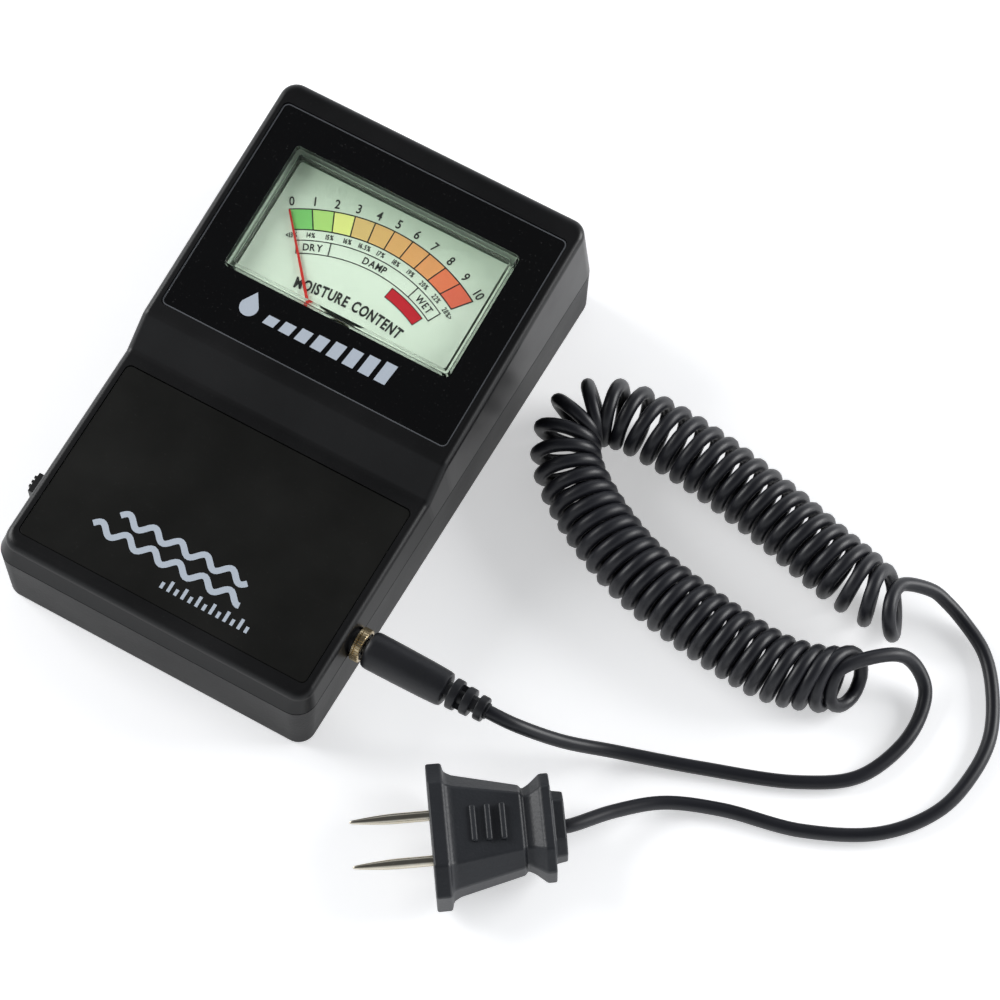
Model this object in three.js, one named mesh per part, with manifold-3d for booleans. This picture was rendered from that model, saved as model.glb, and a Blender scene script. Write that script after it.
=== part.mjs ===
// Handheld moisture meter with a plug-in two-pin probe on a curly lead.
// Millimetres, +Z up. The origin is the centre of the case's underside, +Y runs along the case
// to the head that holds the dial, and +X is the side that holds the probe jack.

import * as THREE from 'three';
import { mergeVertices } from 'three/addons/utils/BufferGeometryUtils.js';
import Module from 'manifold-3d';

const wasm = await Module();
wasm.setup();

// ---------------------------------------------------------------- driving dimensions

const GAP = 0.3;

const CASE_LENGTH = 134;
const CASE_WIDTH = 83;
const CORNER_RADIUS = 5;
const CORNER_STEPS = 5;
const WALL = 2.4;
const FLOOR = 2.2;
const PARTING_HEIGHT = 18;
const BASE_DRAFT = 0.9;

const GRIP_END_HEIGHT = 23.2;
const GRIP_TOP_HEIGHT = 25.4;
const SLOPE_FOOT_Y = -9.8;
const HEAD_EDGE_Y = -1.6;
const HEAD_EDGE_HEIGHT = 31;
const HEAD_TILT = THREE.MathUtils.degToRad(6.7);

const FASCIA_HALF_WIDTH = 38.2;
const FASCIA_START = 3.3;
const FASCIA_END = 61.1;
const LABEL_HALF_WIDTH = 38.1;
const LABEL_NEAR_Y = -61;
const LABEL_FAR_Y = -12.9;

const WINDOW_HALF_WIDTH = 29.8;
const WINDOW_START = 18.9;
const WINDOW_END = 52.4;
const COVER_TOP = 0.7;
const DIAL_LEVEL = -5;
const PIVOT_S = 10.3;
const POINTER_LENGTH = 37.5;
const POINTER_REST = THREE.MathUtils.degToRad(40.7);

const HOUSING_HALF_WIDTH = 31.5;
const HOUSING_START = -1;
const HOUSING_END = 54.5;
const HOUSING_TOP = -4.3;
const HOUSING_BOTTOM = -18;
const HOUSING_WALL = 1.6;

const JACK_Y = -44.5;
const JACK_HEIGHT = PARTING_HEIGHT;
const PLUG_RADIUS = 4.5;
const PLUG_START = 44.7;
const PLUG_END = 65.2;
const CORD_RADIUS = 1.65;
const COIL_RADIUS = 8.4;

const SWITCH_Y = -47.3;
const SWITCH_TRAVEL = 2.5;

const BATTERY = { length: 48.5, width: 26.5, height: 17.5, x: -3, y: -48, base: 3.3 };
const DOOR = { halfWidth: 28, near: -62.6, far: -33.4, bottom: 0.3, top: 2.1 };

const SCREW_X = 34.5;
const SCREW_Y = 60;
const BOARD = { x0: -30, x1: 30, y0: -26, y1: 20, bottom: 6, top: 7.6 };

const PIN_RADIUS = 1.25;
const PIN_SPACING = 10.7;
const PIN_LENGTH = 18;

// ---------------------------------------------------------------- materials

function finish(color, roughness, metalness = 0) {
  return new THREE.MeshStandardMaterial({ color, roughness, metalness });
}

const CASE_BLACK = finish(0x1b1b1c, 0.5);
const CASE_GRAIN = finish(0x202021, 0.65);
const GLOSS_BLACK = finish(0x0b0b0c, 0.15);
const LABEL_BLACK = finish(0x23231f, 0.45);
const DIAL_GREEN = finish(0xdce8d4, 0.6);
const NEEDLE_RED = finish(0xc22a1e, 0.5);
const STEEL = finish(0x9a9c9e, 0.35, 1);
const NICKEL = finish(0xb9b09a, 0.3, 1);
const COPPER = finish(0xb56a38, 0.4, 1);
const BRASS = finish(0xb08d4a, 0.35, 1);
const CORD_BLACK = finish(0x1e1f24, 0.45);
const PROBE_GREY = finish(0x3a3c40, 0.6);
const BOARD_GREEN = finish(0x2c6a3a, 0.6);
const CLEAR = finish(0xeef4f0, 0.05);
CLEAR.transparent = true;
CLEAR.opacity = 0.35;
const COMPONENT = finish(0x2a2a2a, 0.5);
const RESISTOR_TAN = finish(0xc9ab7c, 0.6);
const TRIMMER_BLUE = finish(0x2b5aa8, 0.5);
const RED_WIRE = finish(0xb02020, 0.5);
const BLACK_WIRE = finish(0x151515, 0.5);
const BATTERY_STEEL = finish(0x6a6c70, 0.4, 0.8);
const FOAM = finish(0x4a4a4c, 0.95);
const SHELL_PLASTIC = finish(0x343638, 0.6);

// ---------------------------------------------------------------- solids and booleans

function toSolid(geometry) {
  const bare = geometry.clone();
  bare.deleteAttribute('normal');
  bare.deleteAttribute('uv');
  const merged = mergeVertices(bare, 1e-4);
  return new wasm.Manifold(new wasm.Mesh({
    numProp: 3,
    vertProperties: new Float32Array(merged.attributes.position.array),
    triVerts: new Uint32Array(merged.index.array),
  }));
}

function toGeometry(solid) {
  const mesh = solid.getMesh();
  const geometry = new THREE.BufferGeometry();
  geometry.setAttribute('position', new THREE.BufferAttribute(new Float32Array(mesh.vertProperties), 3));
  geometry.setIndex(new THREE.BufferAttribute(new Uint32Array(mesh.triVerts), 1));
  geometry.computeVertexNormals();
  return geometry;
}

function shape(base, added = [], removed = []) {
  let result = toSolid(base);
  for (const geometry of added) result = result.add(toSolid(geometry));
  for (const geometry of removed) result = result.subtract(toSolid(geometry));
  return toGeometry(result);
}

function box(x0, x1, y0, y1, z0, z1) {
  const geometry = new THREE.BoxGeometry(x1 - x0, y1 - y0, z1 - z0);
  return geometry.translate((x0 + x1) / 2, (y0 + y1) / 2, (z0 + z1) / 2);
}

function rod(radius, x, y, z0, z1, sides = 16) {
  const geometry = new THREE.CylinderGeometry(radius, radius, z1 - z0, sides);
  return geometry.rotateX(Math.PI / 2).translate(x, y, (z0 + z1) / 2);
}

function rodAlongX(radius, x0, x1, y, z, sides = 16) {
  const geometry = new THREE.CylinderGeometry(radius, radius, x1 - x0, sides);
  return geometry.rotateZ(-Math.PI / 2).translate((x0 + x1) / 2, y, z);
}

function roundedPlate(x0, x1, y0, y1, z0, z1, radius) {
  const outline = new THREE.Shape();
  outline.absarc(x1 - radius, y0 + radius, radius, -Math.PI / 2, 0);
  outline.absarc(x1 - radius, y1 - radius, radius, 0, Math.PI / 2);
  outline.absarc(x0 + radius, y1 - radius, radius, Math.PI / 2, Math.PI);
  outline.absarc(x0 + radius, y0 + radius, radius, Math.PI, 1.5 * Math.PI);
  const options = { depth: z1 - z0, bevelEnabled: false, curveSegments: 3 };
  return new THREE.ExtrudeGeometry(outline, options).translate(0, 0, z0);
}

function turned(profile, sides) {
  const points = profile.map(([radius, height]) => new THREE.Vector2(radius, height));
  return new THREE.LatheGeometry(points, sides).rotateX(Math.PI / 2);
}

function turnedAlongX(profile, sides) {
  const points = profile.map(([radius, along]) => new THREE.Vector2(radius, along));
  return new THREE.LatheGeometry(points, sides).rotateZ(-Math.PI / 2);
}

function tube(points, radius, sides, steps) {
  const route = new THREE.CatmullRomCurve3(points.map((point) => new THREE.Vector3(...point)));
  const section = new THREE.Shape();
  for (let i = 0; i < sides; i += 1) {
    const angle = (2 * Math.PI * i) / sides;
    const place = [radius * Math.cos(angle), radius * Math.sin(angle)];
    if (i === 0) section.moveTo(...place);
    else section.lineTo(...place);
  }
  return new THREE.ExtrudeGeometry(section, { steps, bevelEnabled: false, extrudePath: route });
}

// Skins a stack of matching rings and closes both ends. Each ring runs up its right side and
// back down its left, so its ends close as a ladder of rungs between mirrored points.
function loft(rings) {
  const count = rings[0].length;
  const positions = rings.flat(2);
  const index = [];
  for (let tier = 0; tier < rings.length - 1; tier += 1) {
    for (let i = 0; i < count; i += 1) {
      const a = tier * count + i;
      const b = tier * count + ((i + 1) % count);
      index.push(a, b, b + count, a, b + count, a + count);
    }
  }
  const last = (rings.length - 1) * count;
  for (let i = 0; i < count / 2 - 1; i += 1) {
    const across = count - 1 - i;
    index.push(i, across, i + 1, i + 1, across, across - 1);
    index.push(last + i, last + i + 1, last + across, last + i + 1, last + across - 1, last + across);
  }
  const geometry = new THREE.BufferGeometry();
  geometry.setAttribute('position', new THREE.Float32BufferAttribute(positions, 3));
  geometry.setIndex(index);
  return geometry;
}

// ---------------------------------------------------------------- the assembly's groups

const meter = new THREE.Group();
const head = new THREE.Group();
head.position.set(0, HEAD_EDGE_Y, HEAD_EDGE_HEIGHT);
head.rotation.x = HEAD_TILT;
head.updateMatrix();
meter.add(head);

function add(name, geometry, material, parent = meter) {
  const mesh = new THREE.Mesh(geometry, material);
  mesh.name = name;
  parent.add(mesh);
  return mesh;
}

function inHead(geometry) {
  return geometry.applyMatrix4(head.matrix);
}

// ---------------------------------------------------------------- case shells

function topHeight(y) {
  if (y >= HEAD_EDGE_Y) return HEAD_EDGE_HEIGHT + (y - HEAD_EDGE_Y) * Math.tan(HEAD_TILT);
  if (y >= SLOPE_FOOT_Y) {
    const along = (y - SLOPE_FOOT_Y) / (HEAD_EDGE_Y - SLOPE_FOOT_Y);
    return THREE.MathUtils.lerp(GRIP_TOP_HEIGHT, HEAD_EDGE_HEIGHT, along);
  }
  const along = (y - LABEL_NEAR_Y) / (SLOPE_FOOT_Y - LABEL_NEAR_Y);
  return THREE.MathUtils.lerp(GRIP_END_HEIGHT, GRIP_TOP_HEIGHT, along);
}

// One level of the case: a rounded rectangle drawn in by insetX and insetY, with points where
// the top surface bends. heightAt gives each point's height from its y.
function caseRing(insetX, insetY, heightAt) {
  const halfWidth = CASE_WIDTH / 2 - insetX;
  const halfLength = CASE_LENGTH / 2 - insetY;
  const radius = Math.max(CORNER_RADIUS - Math.max(insetX, insetY), 1);
  const right = [];
  for (let i = 0; i <= CORNER_STEPS; i += 1) {
    const angle = -Math.PI / 2 + (i / CORNER_STEPS) * (Math.PI / 2);
    const x = halfWidth - radius + radius * Math.cos(angle);
    right.push([x, -halfLength + radius + radius * Math.sin(angle)]);
  }
  right.push([halfWidth, SLOPE_FOOT_Y], [halfWidth, HEAD_EDGE_Y]);
  for (let i = 0; i <= CORNER_STEPS; i += 1) {
    const angle = (i / CORNER_STEPS) * (Math.PI / 2);
    const x = halfWidth - radius + radius * Math.cos(angle);
    right.push([x, halfLength - radius + radius * Math.sin(angle)]);
  }
  const left = right.map(([x, y]) => [-x, y]).reverse();
  return [...right, ...left].map(([x, y]) => [x, y, heightAt(y)]);
}

function level(height) {
  return () => height;
}

function below(drop) {
  return (y) => topHeight(y) - drop;
}

function jackCut() {
  return rodAlongX(3.6, CASE_WIDTH / 2 - 5, CASE_WIDTH / 2 + 2, JACK_Y, JACK_HEIGHT, 20);
}

function switchCut() {
  const reach = SWITCH_TRAVEL + 2.9;
  const halfHeight = 2.2;
  const slot = box(-2, 4, -reach, reach, -halfHeight, halfHeight);
  return slot.translate(-CASE_WIDTH / 2, SWITCH_Y, PARTING_HEIGHT);
}

function fourCorners() {
  return [[SCREW_X, -SCREW_Y], [SCREW_X, SCREW_Y], [-SCREW_X, SCREW_Y], [-SCREW_X, -SCREW_Y]];
}

const BOARD_POSTS = [[-26, -22], [26, -22], [26, 16], [-26, 16]];

function lowerCase() {
  const outer = loft([
    caseRing(BASE_DRAFT + 1.2, 1.2, level(0)),
    caseRing(BASE_DRAFT, 0.1, level(1.2)),
    caseRing(0, 0, level(PARTING_HEIGHT - GAP / 2)),
  ]);
  const hollow = loft([
    caseRing(WALL + BASE_DRAFT, WALL, level(FLOOR)),
    caseRing(WALL, WALL, level(PARTING_HEIGHT + 1)),
  ]);
  let shell = toSolid(outer).subtract(toSolid(hollow));
  const bosses = fourCorners().map(([x, y]) => rod(4, x, y, 1, PARTING_HEIGHT - 0.4));
  const posts = BOARD_POSTS.map(([x, y]) => rod(2.6, x, y, 1, BOARD.bottom - GAP, 12));
  const walls = [
    box(-31, 31, -30.6, -29.1, 1, 14),
    box(-31, -29.6, -61, -30, 1, 11),
    box(29.6, 31, -61, -52, 1, 11),
  ];
  for (const piece of [...bosses, ...posts, ...walls]) shell = shell.add(toSolid(piece));
  const cuts = [jackCut(), switchCut()];
  cuts.push(box(-DOOR.halfWidth, DOOR.halfWidth, DOOR.near, DOOR.far, -1, FLOOR + 0.2));
  for (const [x, y] of fourCorners()) {
    cuts.push(rod(3.2, x, y, -1, 4));
    cuts.push(rod(1.7, x, y, 3, PARTING_HEIGHT + 1, 12));
  }
  for (const [x, y] of BOARD_POSTS) cuts.push(rod(1.3, x, y, 2.6, 8, 10));
  for (const cut of cuts) shell = shell.subtract(toSolid(cut));
  return toGeometry(shell);
}

function labelRecess(z0, z1, inset) {
  const tilt = Math.atan((GRIP_TOP_HEIGHT - GRIP_END_HEIGHT) / (SLOPE_FOOT_Y - LABEL_NEAR_Y));
  const length = LABEL_FAR_Y - LABEL_NEAR_Y;
  const half = LABEL_HALF_WIDTH - inset;
  const plate = roundedPlate(-half, half, inset, length - inset, z0, z1, 1.5);
  return plate.rotateX(tilt).translate(0, LABEL_NEAR_Y, topHeight(LABEL_NEAR_Y));
}

function fasciaPlate(z0, z1, inset) {
  const half = FASCIA_HALF_WIDTH - inset;
  return roundedPlate(-half, half, FASCIA_START + inset, FASCIA_END - inset, z0, z1, 1.5);
}

function windowPlate(z0, z1, inset) {
  const half = WINDOW_HALF_WIDTH - inset;
  return roundedPlate(-half, half, WINDOW_START + inset, WINDOW_END - inset, z0, z1, 0.9);
}

function batteryPocket() {
  const halfLength = BATTERY.length / 2 + 0.5;
  const halfWidth = BATTERY.width / 2 + 0.5;
  const roof = BATTERY.base + BATTERY.height + 0.4;
  const { x, y } = BATTERY;
  return box(x - halfLength, x + halfLength, y - halfWidth, y + halfWidth, PARTING_HEIGHT - 2, roof);
}

const METER_SCREW = { x: 34.8, s: 30, post: -8.6 };

function upperCase() {
  const bottom = PARTING_HEIGHT + GAP / 2;
  const outer = loft([
    caseRing(0, 0, level(bottom)),
    caseRing(0.7, 1.6, below(2.6)),
    caseRing(1.1, 2.8, below(0.9)),
    caseRing(1.9, 3.8, below(0.2)),
    caseRing(2.6, 4.6, below(0)),
  ]);
  const hollow = loft([
    caseRing(WALL, WALL, level(bottom - 1)),
    caseRing(WALL + 0.9, WALL + 2.4, below(WALL + 1.6)),
    caseRing(WALL + 2.4, WALL + 4.2, below(WALL)),
  ]);
  let shell = toSolid(outer).subtract(toSolid(hollow));
  for (const [x, y] of fourCorners()) {
    shell = shell.add(toSolid(rod(3.6, x, y, PARTING_HEIGHT + 0.4, topHeight(y) - 1.2)));
  }
  for (const side of [-1, 1]) {
    const post = rod(2.6, side * METER_SCREW.x, METER_SCREW.s, METER_SCREW.post, -1.8, 12);
    shell = shell.add(toSolid(inHead(post)));
  }
  const cuts = [jackCut(), switchCut(), inHead(fasciaPlate(-1.2, 4, 0)), labelRecess(-0.8, 3, 0)];
  cuts.push(inHead(windowPlate(-6, 2, -GAP)));
  cuts.push(batteryPocket());
  for (const [x, y] of fourCorners()) {
    cuts.push(rod(1.6, x, y, PARTING_HEIGHT - 1, Math.min(topHeight(y) - 2.4, 27), 12));
  }
  for (const side of [-1, 1]) {
    cuts.push(inHead(rod(1.2, side * METER_SCREW.x, METER_SCREW.s, METER_SCREW.post - 1, -3.4, 10)));
  }
  for (const cut of cuts) shell = shell.subtract(toSolid(cut));
  return toGeometry(shell);
}

function batteryDoor() {
  const { halfWidth, near, far, bottom, top } = DOOR;
  const plate = roundedPlate(-halfWidth + GAP, halfWidth - GAP, near + GAP, far - GAP, bottom, top, 1);
  const added = [];
  for (const x of [-16, 16]) {
    added.push(box(x - 4, x + 4, far - 2, far - 0.7, top - 0.5, top + 0.9));
    added.push(box(x - 4, x + 4, far - 2, far + 1.8, top + 0.4, top + 0.9));
  }
  added.push(box(-5, 5, near + 0.9, near + 2.2, top - 0.5, top + 0.9));
  const removed = [];
  for (let i = 0; i < 5; i += 1) {
    const y = near + 6 + i * 1.8;
    removed.push(box(-8, 8, y - 0.45, y + 0.45, bottom - 1, bottom + 0.5));
  }
  return shape(plate, added, removed);
}

function addCase() {
  add('lower_case', lowerCase(), CASE_GRAIN);
  add('upper_case', upperCase(), CASE_BLACK);
  add('battery_door', batteryDoor(), CASE_GRAIN);
  add('foam_pad', box(-22, 22, -58, -38, DOOR.top + GAP, DOOR.top + 0.9), FOAM);
  const fascia = shape(fasciaPlate(-0.9, -0.4, 0.25), [], [windowPlate(-3, 3, -GAP)]);
  add('fascia_panel', fascia, GLOSS_BLACK, head);
  add('label_plate', labelRecess(-0.5, -0.2, 0.25), LABEL_BLACK);
  fourCorners().forEach(([x, y], i) => {
    const tip = Math.min(topHeight(y) - 3.4, 26);
    const profile = [[0, 1.2], [2.6, 1.2], [2.8, 1.6], [2.8, 3.6], [1.3, 3.7], [1.3, tip - 1], [0, tip]];
    const screw = turned(profile, 12);
    const slotted = shape(screw, [], [box(-0.4, 0.4, -2, 2, 0.5, 1.9), box(-2, 2, -0.4, 0.4, 0.5, 1.9)]);
    add(`case_screw_${i + 1}`, slotted, STEEL).position.set(x, y, 0);
  });
}

// ---------------------------------------------------------------- moving-coil meter

function meterCover() {
  const block = windowPlate(-4, COVER_TOP, 0);
  const half = HOUSING_HALF_WIDTH;
  const flange = roundedPlate(-half, half, 1.2, HOUSING_END, -4, -2.8, 1);
  return shape(block, [flange], [windowPlate(-5, -0.9, 1.4)]);
}

function meterHousing() {
  const half = HOUSING_HALF_WIDTH;
  const inner = half - HOUSING_WALL;
  const floor = HOUSING_BOTTOM + HOUSING_WALL;
  const tub = roundedPlate(-half, half, HOUSING_START, HOUSING_END, HOUSING_BOTTOM, HOUSING_TOP, 1.5);
  const ears = [-1, 1].map((side) => {
    const edge = side * half;
    const reach = edge + side * 5.6;
    const s = METER_SCREW.s;
    return box(Math.min(edge - side, reach), Math.max(edge - side, reach), s - 3.2, s + 3.2, -10.9, -8.9);
  });
  const hollow = roundedPlate(
    -inner, inner, HOUSING_START + HOUSING_WALL, HOUSING_END - HOUSING_WALL, floor, HOUSING_TOP + 1, 1);
  let solid = toSolid(tub);
  for (const ear of ears) solid = solid.add(toSolid(ear));
  solid = solid.subtract(toSolid(hollow));
  for (const side of [-1, 1]) {
    solid = solid.add(toSolid(rod(2.4, side * 12, PIVOT_S, floor - 0.5, -13.7, 12)));
    solid = solid.add(toSolid(rod(2, side * 25, 46, floor - 0.5, DIAL_LEVEL - 0.5 - GAP, 10)));
    solid = solid.subtract(toSolid(rod(1.2, side * 12, PIVOT_S, floor, -13, 10)));
    solid = solid.subtract(toSolid(rod(1.8, side * 20, 22, HOUSING_BOTTOM - 1, floor + 1, 12)));
    solid = solid.subtract(toSolid(rod(1.3, side * METER_SCREW.x, METER_SCREW.s, -12, -8, 10)));
  }
  return toGeometry(solid);
}

function pointer() {
  const blade = new THREE.Shape();
  blade.moveTo(-0.45, 0);
  blade.lineTo(0.45, 0);
  blade.lineTo(0.22, POINTER_LENGTH);
  blade.lineTo(-0.22, POINTER_LENGTH);
  const flat = new THREE.ExtrudeGeometry(blade, { depth: 0.3, bevelEnabled: false }).translate(0, 0, -4.6);
  return shape(flat, [rod(1.7, 0, 0, -4.6, -4.3, 16), box(-0.5, 0.5, -5, 0, -4.6, -4.3)]);
}

function movingCoil() {
  const former = box(-6, 6, -0.8, 0.8, -14.1, -6.5);
  const opening = box(-4.2, 4.2, -2, 2, -13.3, -7.3);
  return shape(former, [rod(0.6, 0, 0, -15.6, -14, 10), rod(0.6, 0, 0, -6.6, -4.9, 10)], [opening]);
}

function magnetYoke() {
  const ring = rod(8.6, 0, 0, -13.4, -7.2, 36);
  return shape(
    ring,
    [box(-15, 15, -2.6, 2.6, -13.4, -11.4)],
    [rod(6.6, 0, 0, -15, -5, 36), rod(1.3, 12, 0, -15, -10, 10), rod(1.3, -12, 0, -15, -10, 10)]);
}

function bridge(bar, foot) {
  const [barLow, barHigh] = bar;
  const [footLow, footHigh] = foot;
  const added = [
    box(-1.6, 1.6, -8.4, -6.8, footLow, footHigh),
    box(-1.6, 1.6, 6.8, 8.4, footLow, footHigh),
  ];
  const bearing = rod(1, 0, 0, barLow - 1, barHigh + 1, 12);
  return shape(box(-1.6, 1.6, -8.4, 8.4, barLow, barHigh), added, [bearing]);
}

function hairspring(z0) {
  const turns = 3;
  const steps = 39;
  const outer = [];
  const inner = [];
  for (let i = 0; i <= steps; i += 1) {
    const angle = (2 * Math.PI * turns * i) / steps;
    const radius = 1.3 + (2.6 * i) / steps;
    outer.push(new THREE.Vector2((radius + 0.15) * Math.cos(angle), (radius + 0.15) * Math.sin(angle)));
    inner.push(new THREE.Vector2((radius - 0.15) * Math.cos(angle), (radius - 0.15) * Math.sin(angle)));
  }
  const strip = new THREE.Shape([...outer, ...inner.reverse()]);
  return new THREE.ExtrudeGeometry(strip, { depth: 0.3, bevelEnabled: false }).translate(0, 0, z0);
}

function smallScrew(headBase, tip, direction) {
  const reach = direction * (tip - headBase);
  const profile = [[0, -reach], [0.7, -reach + 0.6], [0.9, 0], [1.8, 0], [1.8, 0.7], [1.4, 1.1], [0, 1.1]];
  const screw = shape(turned(profile, 10), [], [box(-2, 2, -0.25, 0.25, 0.6, 2)]);
  if (direction > 0) screw.rotateX(Math.PI);
  return screw.translate(0, 0, headBase);
}

function terminal() {
  return turned([
    [0, -21], [1.4, -21], [1.4, -20], [2.6, -20], [2.6, -18.3], [1.4, -18.3], [1.4, -15.2], [0, -15.2],
  ], 12);
}

function addMeterMovement() {
  add('meter_cover', meterCover(), CLEAR, head);
  add('meter_housing', meterHousing(), SHELL_PLASTIC, head);
  const dial = roundedPlate(-28.4, 28.4, 12, 50.8, DIAL_LEVEL - 0.5, DIAL_LEVEL, 0.8);
  add('dial_plate', shape(dial, [], [rod(11, 0, PIVOT_S, -8, -3, 32)]), DIAL_GREEN, head);
  const movement = new THREE.Group();
  movement.position.set(0, PIVOT_S, 0);
  head.add(movement);
  const moving = new THREE.Group();
  moving.rotation.z = POINTER_REST;
  movement.add(moving);
  add('pointer', pointer(), NEEDLE_RED, moving);
  add('moving_coil', movingCoil(), COPPER, moving);
  add('magnet_yoke', magnetYoke(), STEEL, movement);
  const core = shape(rod(3.6, 0, 0, -12.6, -8, 20), [box(-1, 1, -6.3, 6.3, -11.5, -9.2)]);
  add('magnet_core', core, STEEL, movement);
  add('upper_bridge', bridge([-5.7, -5.2], [-6.9, -5.2]), BRASS, movement);
  add('lower_bridge', bridge([-16.1, -15.1], [-16.1, -13.7]), BRASS, movement);
  add('upper_hairspring', hairspring(-6.2), COPPER, movement);
  add('lower_hairspring', hairspring(-14.7), COPPER, movement);
  [-1, 1].forEach((side, i) => {
    const mount = smallScrew(-11.1, -15.4, -1);
    add(`movement_screw_${i + 1}`, mount, STEEL, movement).position.set(side * 12, 0, 0);
    add(`meter_terminal_${i + 1}`, terminal(), BRASS, head).position.set(side * 20, 22, 0);
    const clamp = smallScrew(-11.2, -4.6, 1);
    add(`meter_screw_${i + 1}`, clamp, STEEL, head).position.set(side * METER_SCREW.x, METER_SCREW.s, 0);
  });
}

// ---------------------------------------------------------------- circuit board and wiring

function chip() {
  const body = box(-4.9, 4.9, -3.2, 3.2, 8.4, 11.6);
  const legs = [];
  for (let i = 0; i < 4; i += 1) {
    const x = -3.81 + 2.54 * i;
    for (const side of [-1, 1]) {
      legs.push(box(x - 0.4, x + 0.4, side * 3.7 - 0.6, side * 3.7 + 0.6, 9.6, 10));
      legs.push(box(x - 0.25, x + 0.25, side * 4.2 - 0.15, side * 4.2 + 0.15, BOARD.top + GAP, 10));
    }
  }
  return shape(body, legs);
}

function capacitor(radius, height) {
  const z0 = BOARD.top + GAP;
  const z1 = z0 + height;
  return turned([
    [0, z0], [radius, z0], [radius, z0 + 1], [radius - 0.25, z0 + 1.3], [radius, z0 + 1.7],
    [radius, z1 - 0.4], [radius - 0.4, z1], [radius - 0.9, z1], [radius - 1, z1 - 0.3], [0, z1 - 0.3],
  ], 16);
}

function resistor() {
  const middle = 9.6;
  const body = turnedAlongX([
    [0, -3.2], [1, -3.2], [1.25, -2.6], [1, -1.8], [1, 1.8], [1.25, 2.6], [1, 3.2], [0, 3.2],
  ], 8);
  body.translate(0, 0, middle);
  const leads = [rodAlongX(0.3, -5, -3, 0, middle, 6), rodAlongX(0.3, 3, 5, 0, middle, 6)];
  for (const x of [-4.8, 4.8]) leads.push(rod(0.3, x, 0, BOARD.top + GAP, middle, 6));
  return shape(body, leads);
}

function trimmer() {
  const base = BOARD.top + GAP;
  const screw = rod(1.6, 0, 0, base + 3, base + 4.4, 12);
  const slot = box(-1.2, 1.2, -0.3, 0.3, base + 3.9, base + 6);
  return shape(box(-3.5, 3.5, -3.5, 3.5, base, base + 3.6), [screw], [slot]);
}

function addBoard() {
  const holes = BOARD_POSTS.map(([x, y]) => rod(1.5, x, y, 4, 10, 12));
  const { x0, x1, y0, y1, bottom, top } = BOARD;
  add('main_board', shape(box(x0, x1, y0, y1, bottom, top), [], holes), BOARD_GREEN);
  add('amplifier_chip', chip(), COMPONENT).position.set(-9, -10, 0);
  add('capacitor_1', capacitor(3.1, 7), COMPONENT).position.set(13, -17, 0);
  add('capacitor_2', capacitor(2.5, 5.4), COMPONENT).position.set(20, -12, 0);
  add('trimmer', trimmer(), TRIMMER_BLUE).position.set(6, -7, 0);
  [[-10, -20], [-10, 2], [8, 3]].forEach(([x, y], i) => {
    add(`resistor_${i + 1}`, resistor(), RESISTOR_TAN).position.set(x, y, 0);
  });
  [BOARD_POSTS[0], BOARD_POSTS[2]].forEach(([x, y], i) => {
    add(`board_screw_${i + 1}`, smallScrew(BOARD.top + GAP, 3.2, -1), STEEL).position.set(x, y, 0);
  });
}

function addBattery() {
  const { length, width, height, x, y, base } = BATTERY;
  const right = x + length / 2;
  const left = x - length / 2;
  const can = roundedPlate(left, right - 2.2, y - width / 2, y + width / 2, base, base + height, 1.6);
  const middle = base + height / 2;
  const posts = [
    rodAlongX(3.3, right - 3, right, y - 6.4, middle, 12),
    rodAlongX(2.8, right - 3, right, y + 6.4, middle, 12),
  ];
  add('battery', shape(can, posts), BATTERY_STEEL);
  const cap = roundedPlate(-6.5, 6.5, -12.6, 12.6, 0, 3, 3);
  cap.rotateY(Math.PI / 2).translate(right + GAP, y, middle);
  add('battery_snap', cap, BLACK_WIRE);
}

const LEADS = {
  battery_lead_red: {
    material: RED_WIRE,
    route: [
      [25.2, -54, 11.5], [28.3, -51, 8.6], [32.8, -42, 7], [33.6, -32, 7.5], [31, -23, 9.2], [27.2, -17, 9],
    ],
  },
  battery_lead_black: {
    material: BLACK_WIRE,
    route: [
      [25.2, -42, 11.5], [28.3, -40, 10.5], [32.2, -35, 10.4], [32.6, -28, 10.6], [30, -14, 9.4],
      [27.2, -10, 9],
    ],
  },
  jack_lead: {
    material: RED_WIRE,
    route: [[33, -40.4, 18], [33.6, -34, 17], [34.4, -24, 13], [31, -6, 9.6], [27, -2, 9]],
  },
  switch_lead: {
    material: BLACK_WIRE,
    route: [[-33, -39.8, 18], [-33.3, -33, 16.5], [-33, -24, 12.5], [-30.2, -14, 9.4], [-26.5, -11, 9]],
  },
  meter_lead_red: {
    material: RED_WIRE,
    route: [[-18.2, 18.5, 12.6], [-21, 14, 11.2], [-23, 8, 9.6], [-22, 3, 9]],
  },
  meter_lead_black: {
    material: BLACK_WIRE,
    route: [[18.2, 18.5, 12.6], [21, 14, 11.2], [23, 8, 9.6], [22, 3, 9]],
  },
};

function addLeads() {
  for (const [name, { material, route }] of Object.entries(LEADS)) {
    add(name, tube(route, 0.65, 6, 10), material);
  }
}

// ---------------------------------------------------------------- jack and slide switch

function jackSocket() {
  const body = box(26, 36.5, JACK_Y - 3.2, JACK_Y + 3.2, JACK_HEIGHT - 3.2, JACK_HEIGHT + 3.2);
  const bush = rodAlongX(3, 36, 43.9, JACK_Y, JACK_HEIGHT, 16);
  return shape(body, [bush], [rodAlongX(2.1, 27.2, 45, JACK_Y, JACK_HEIGHT, 16)]);
}

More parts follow.
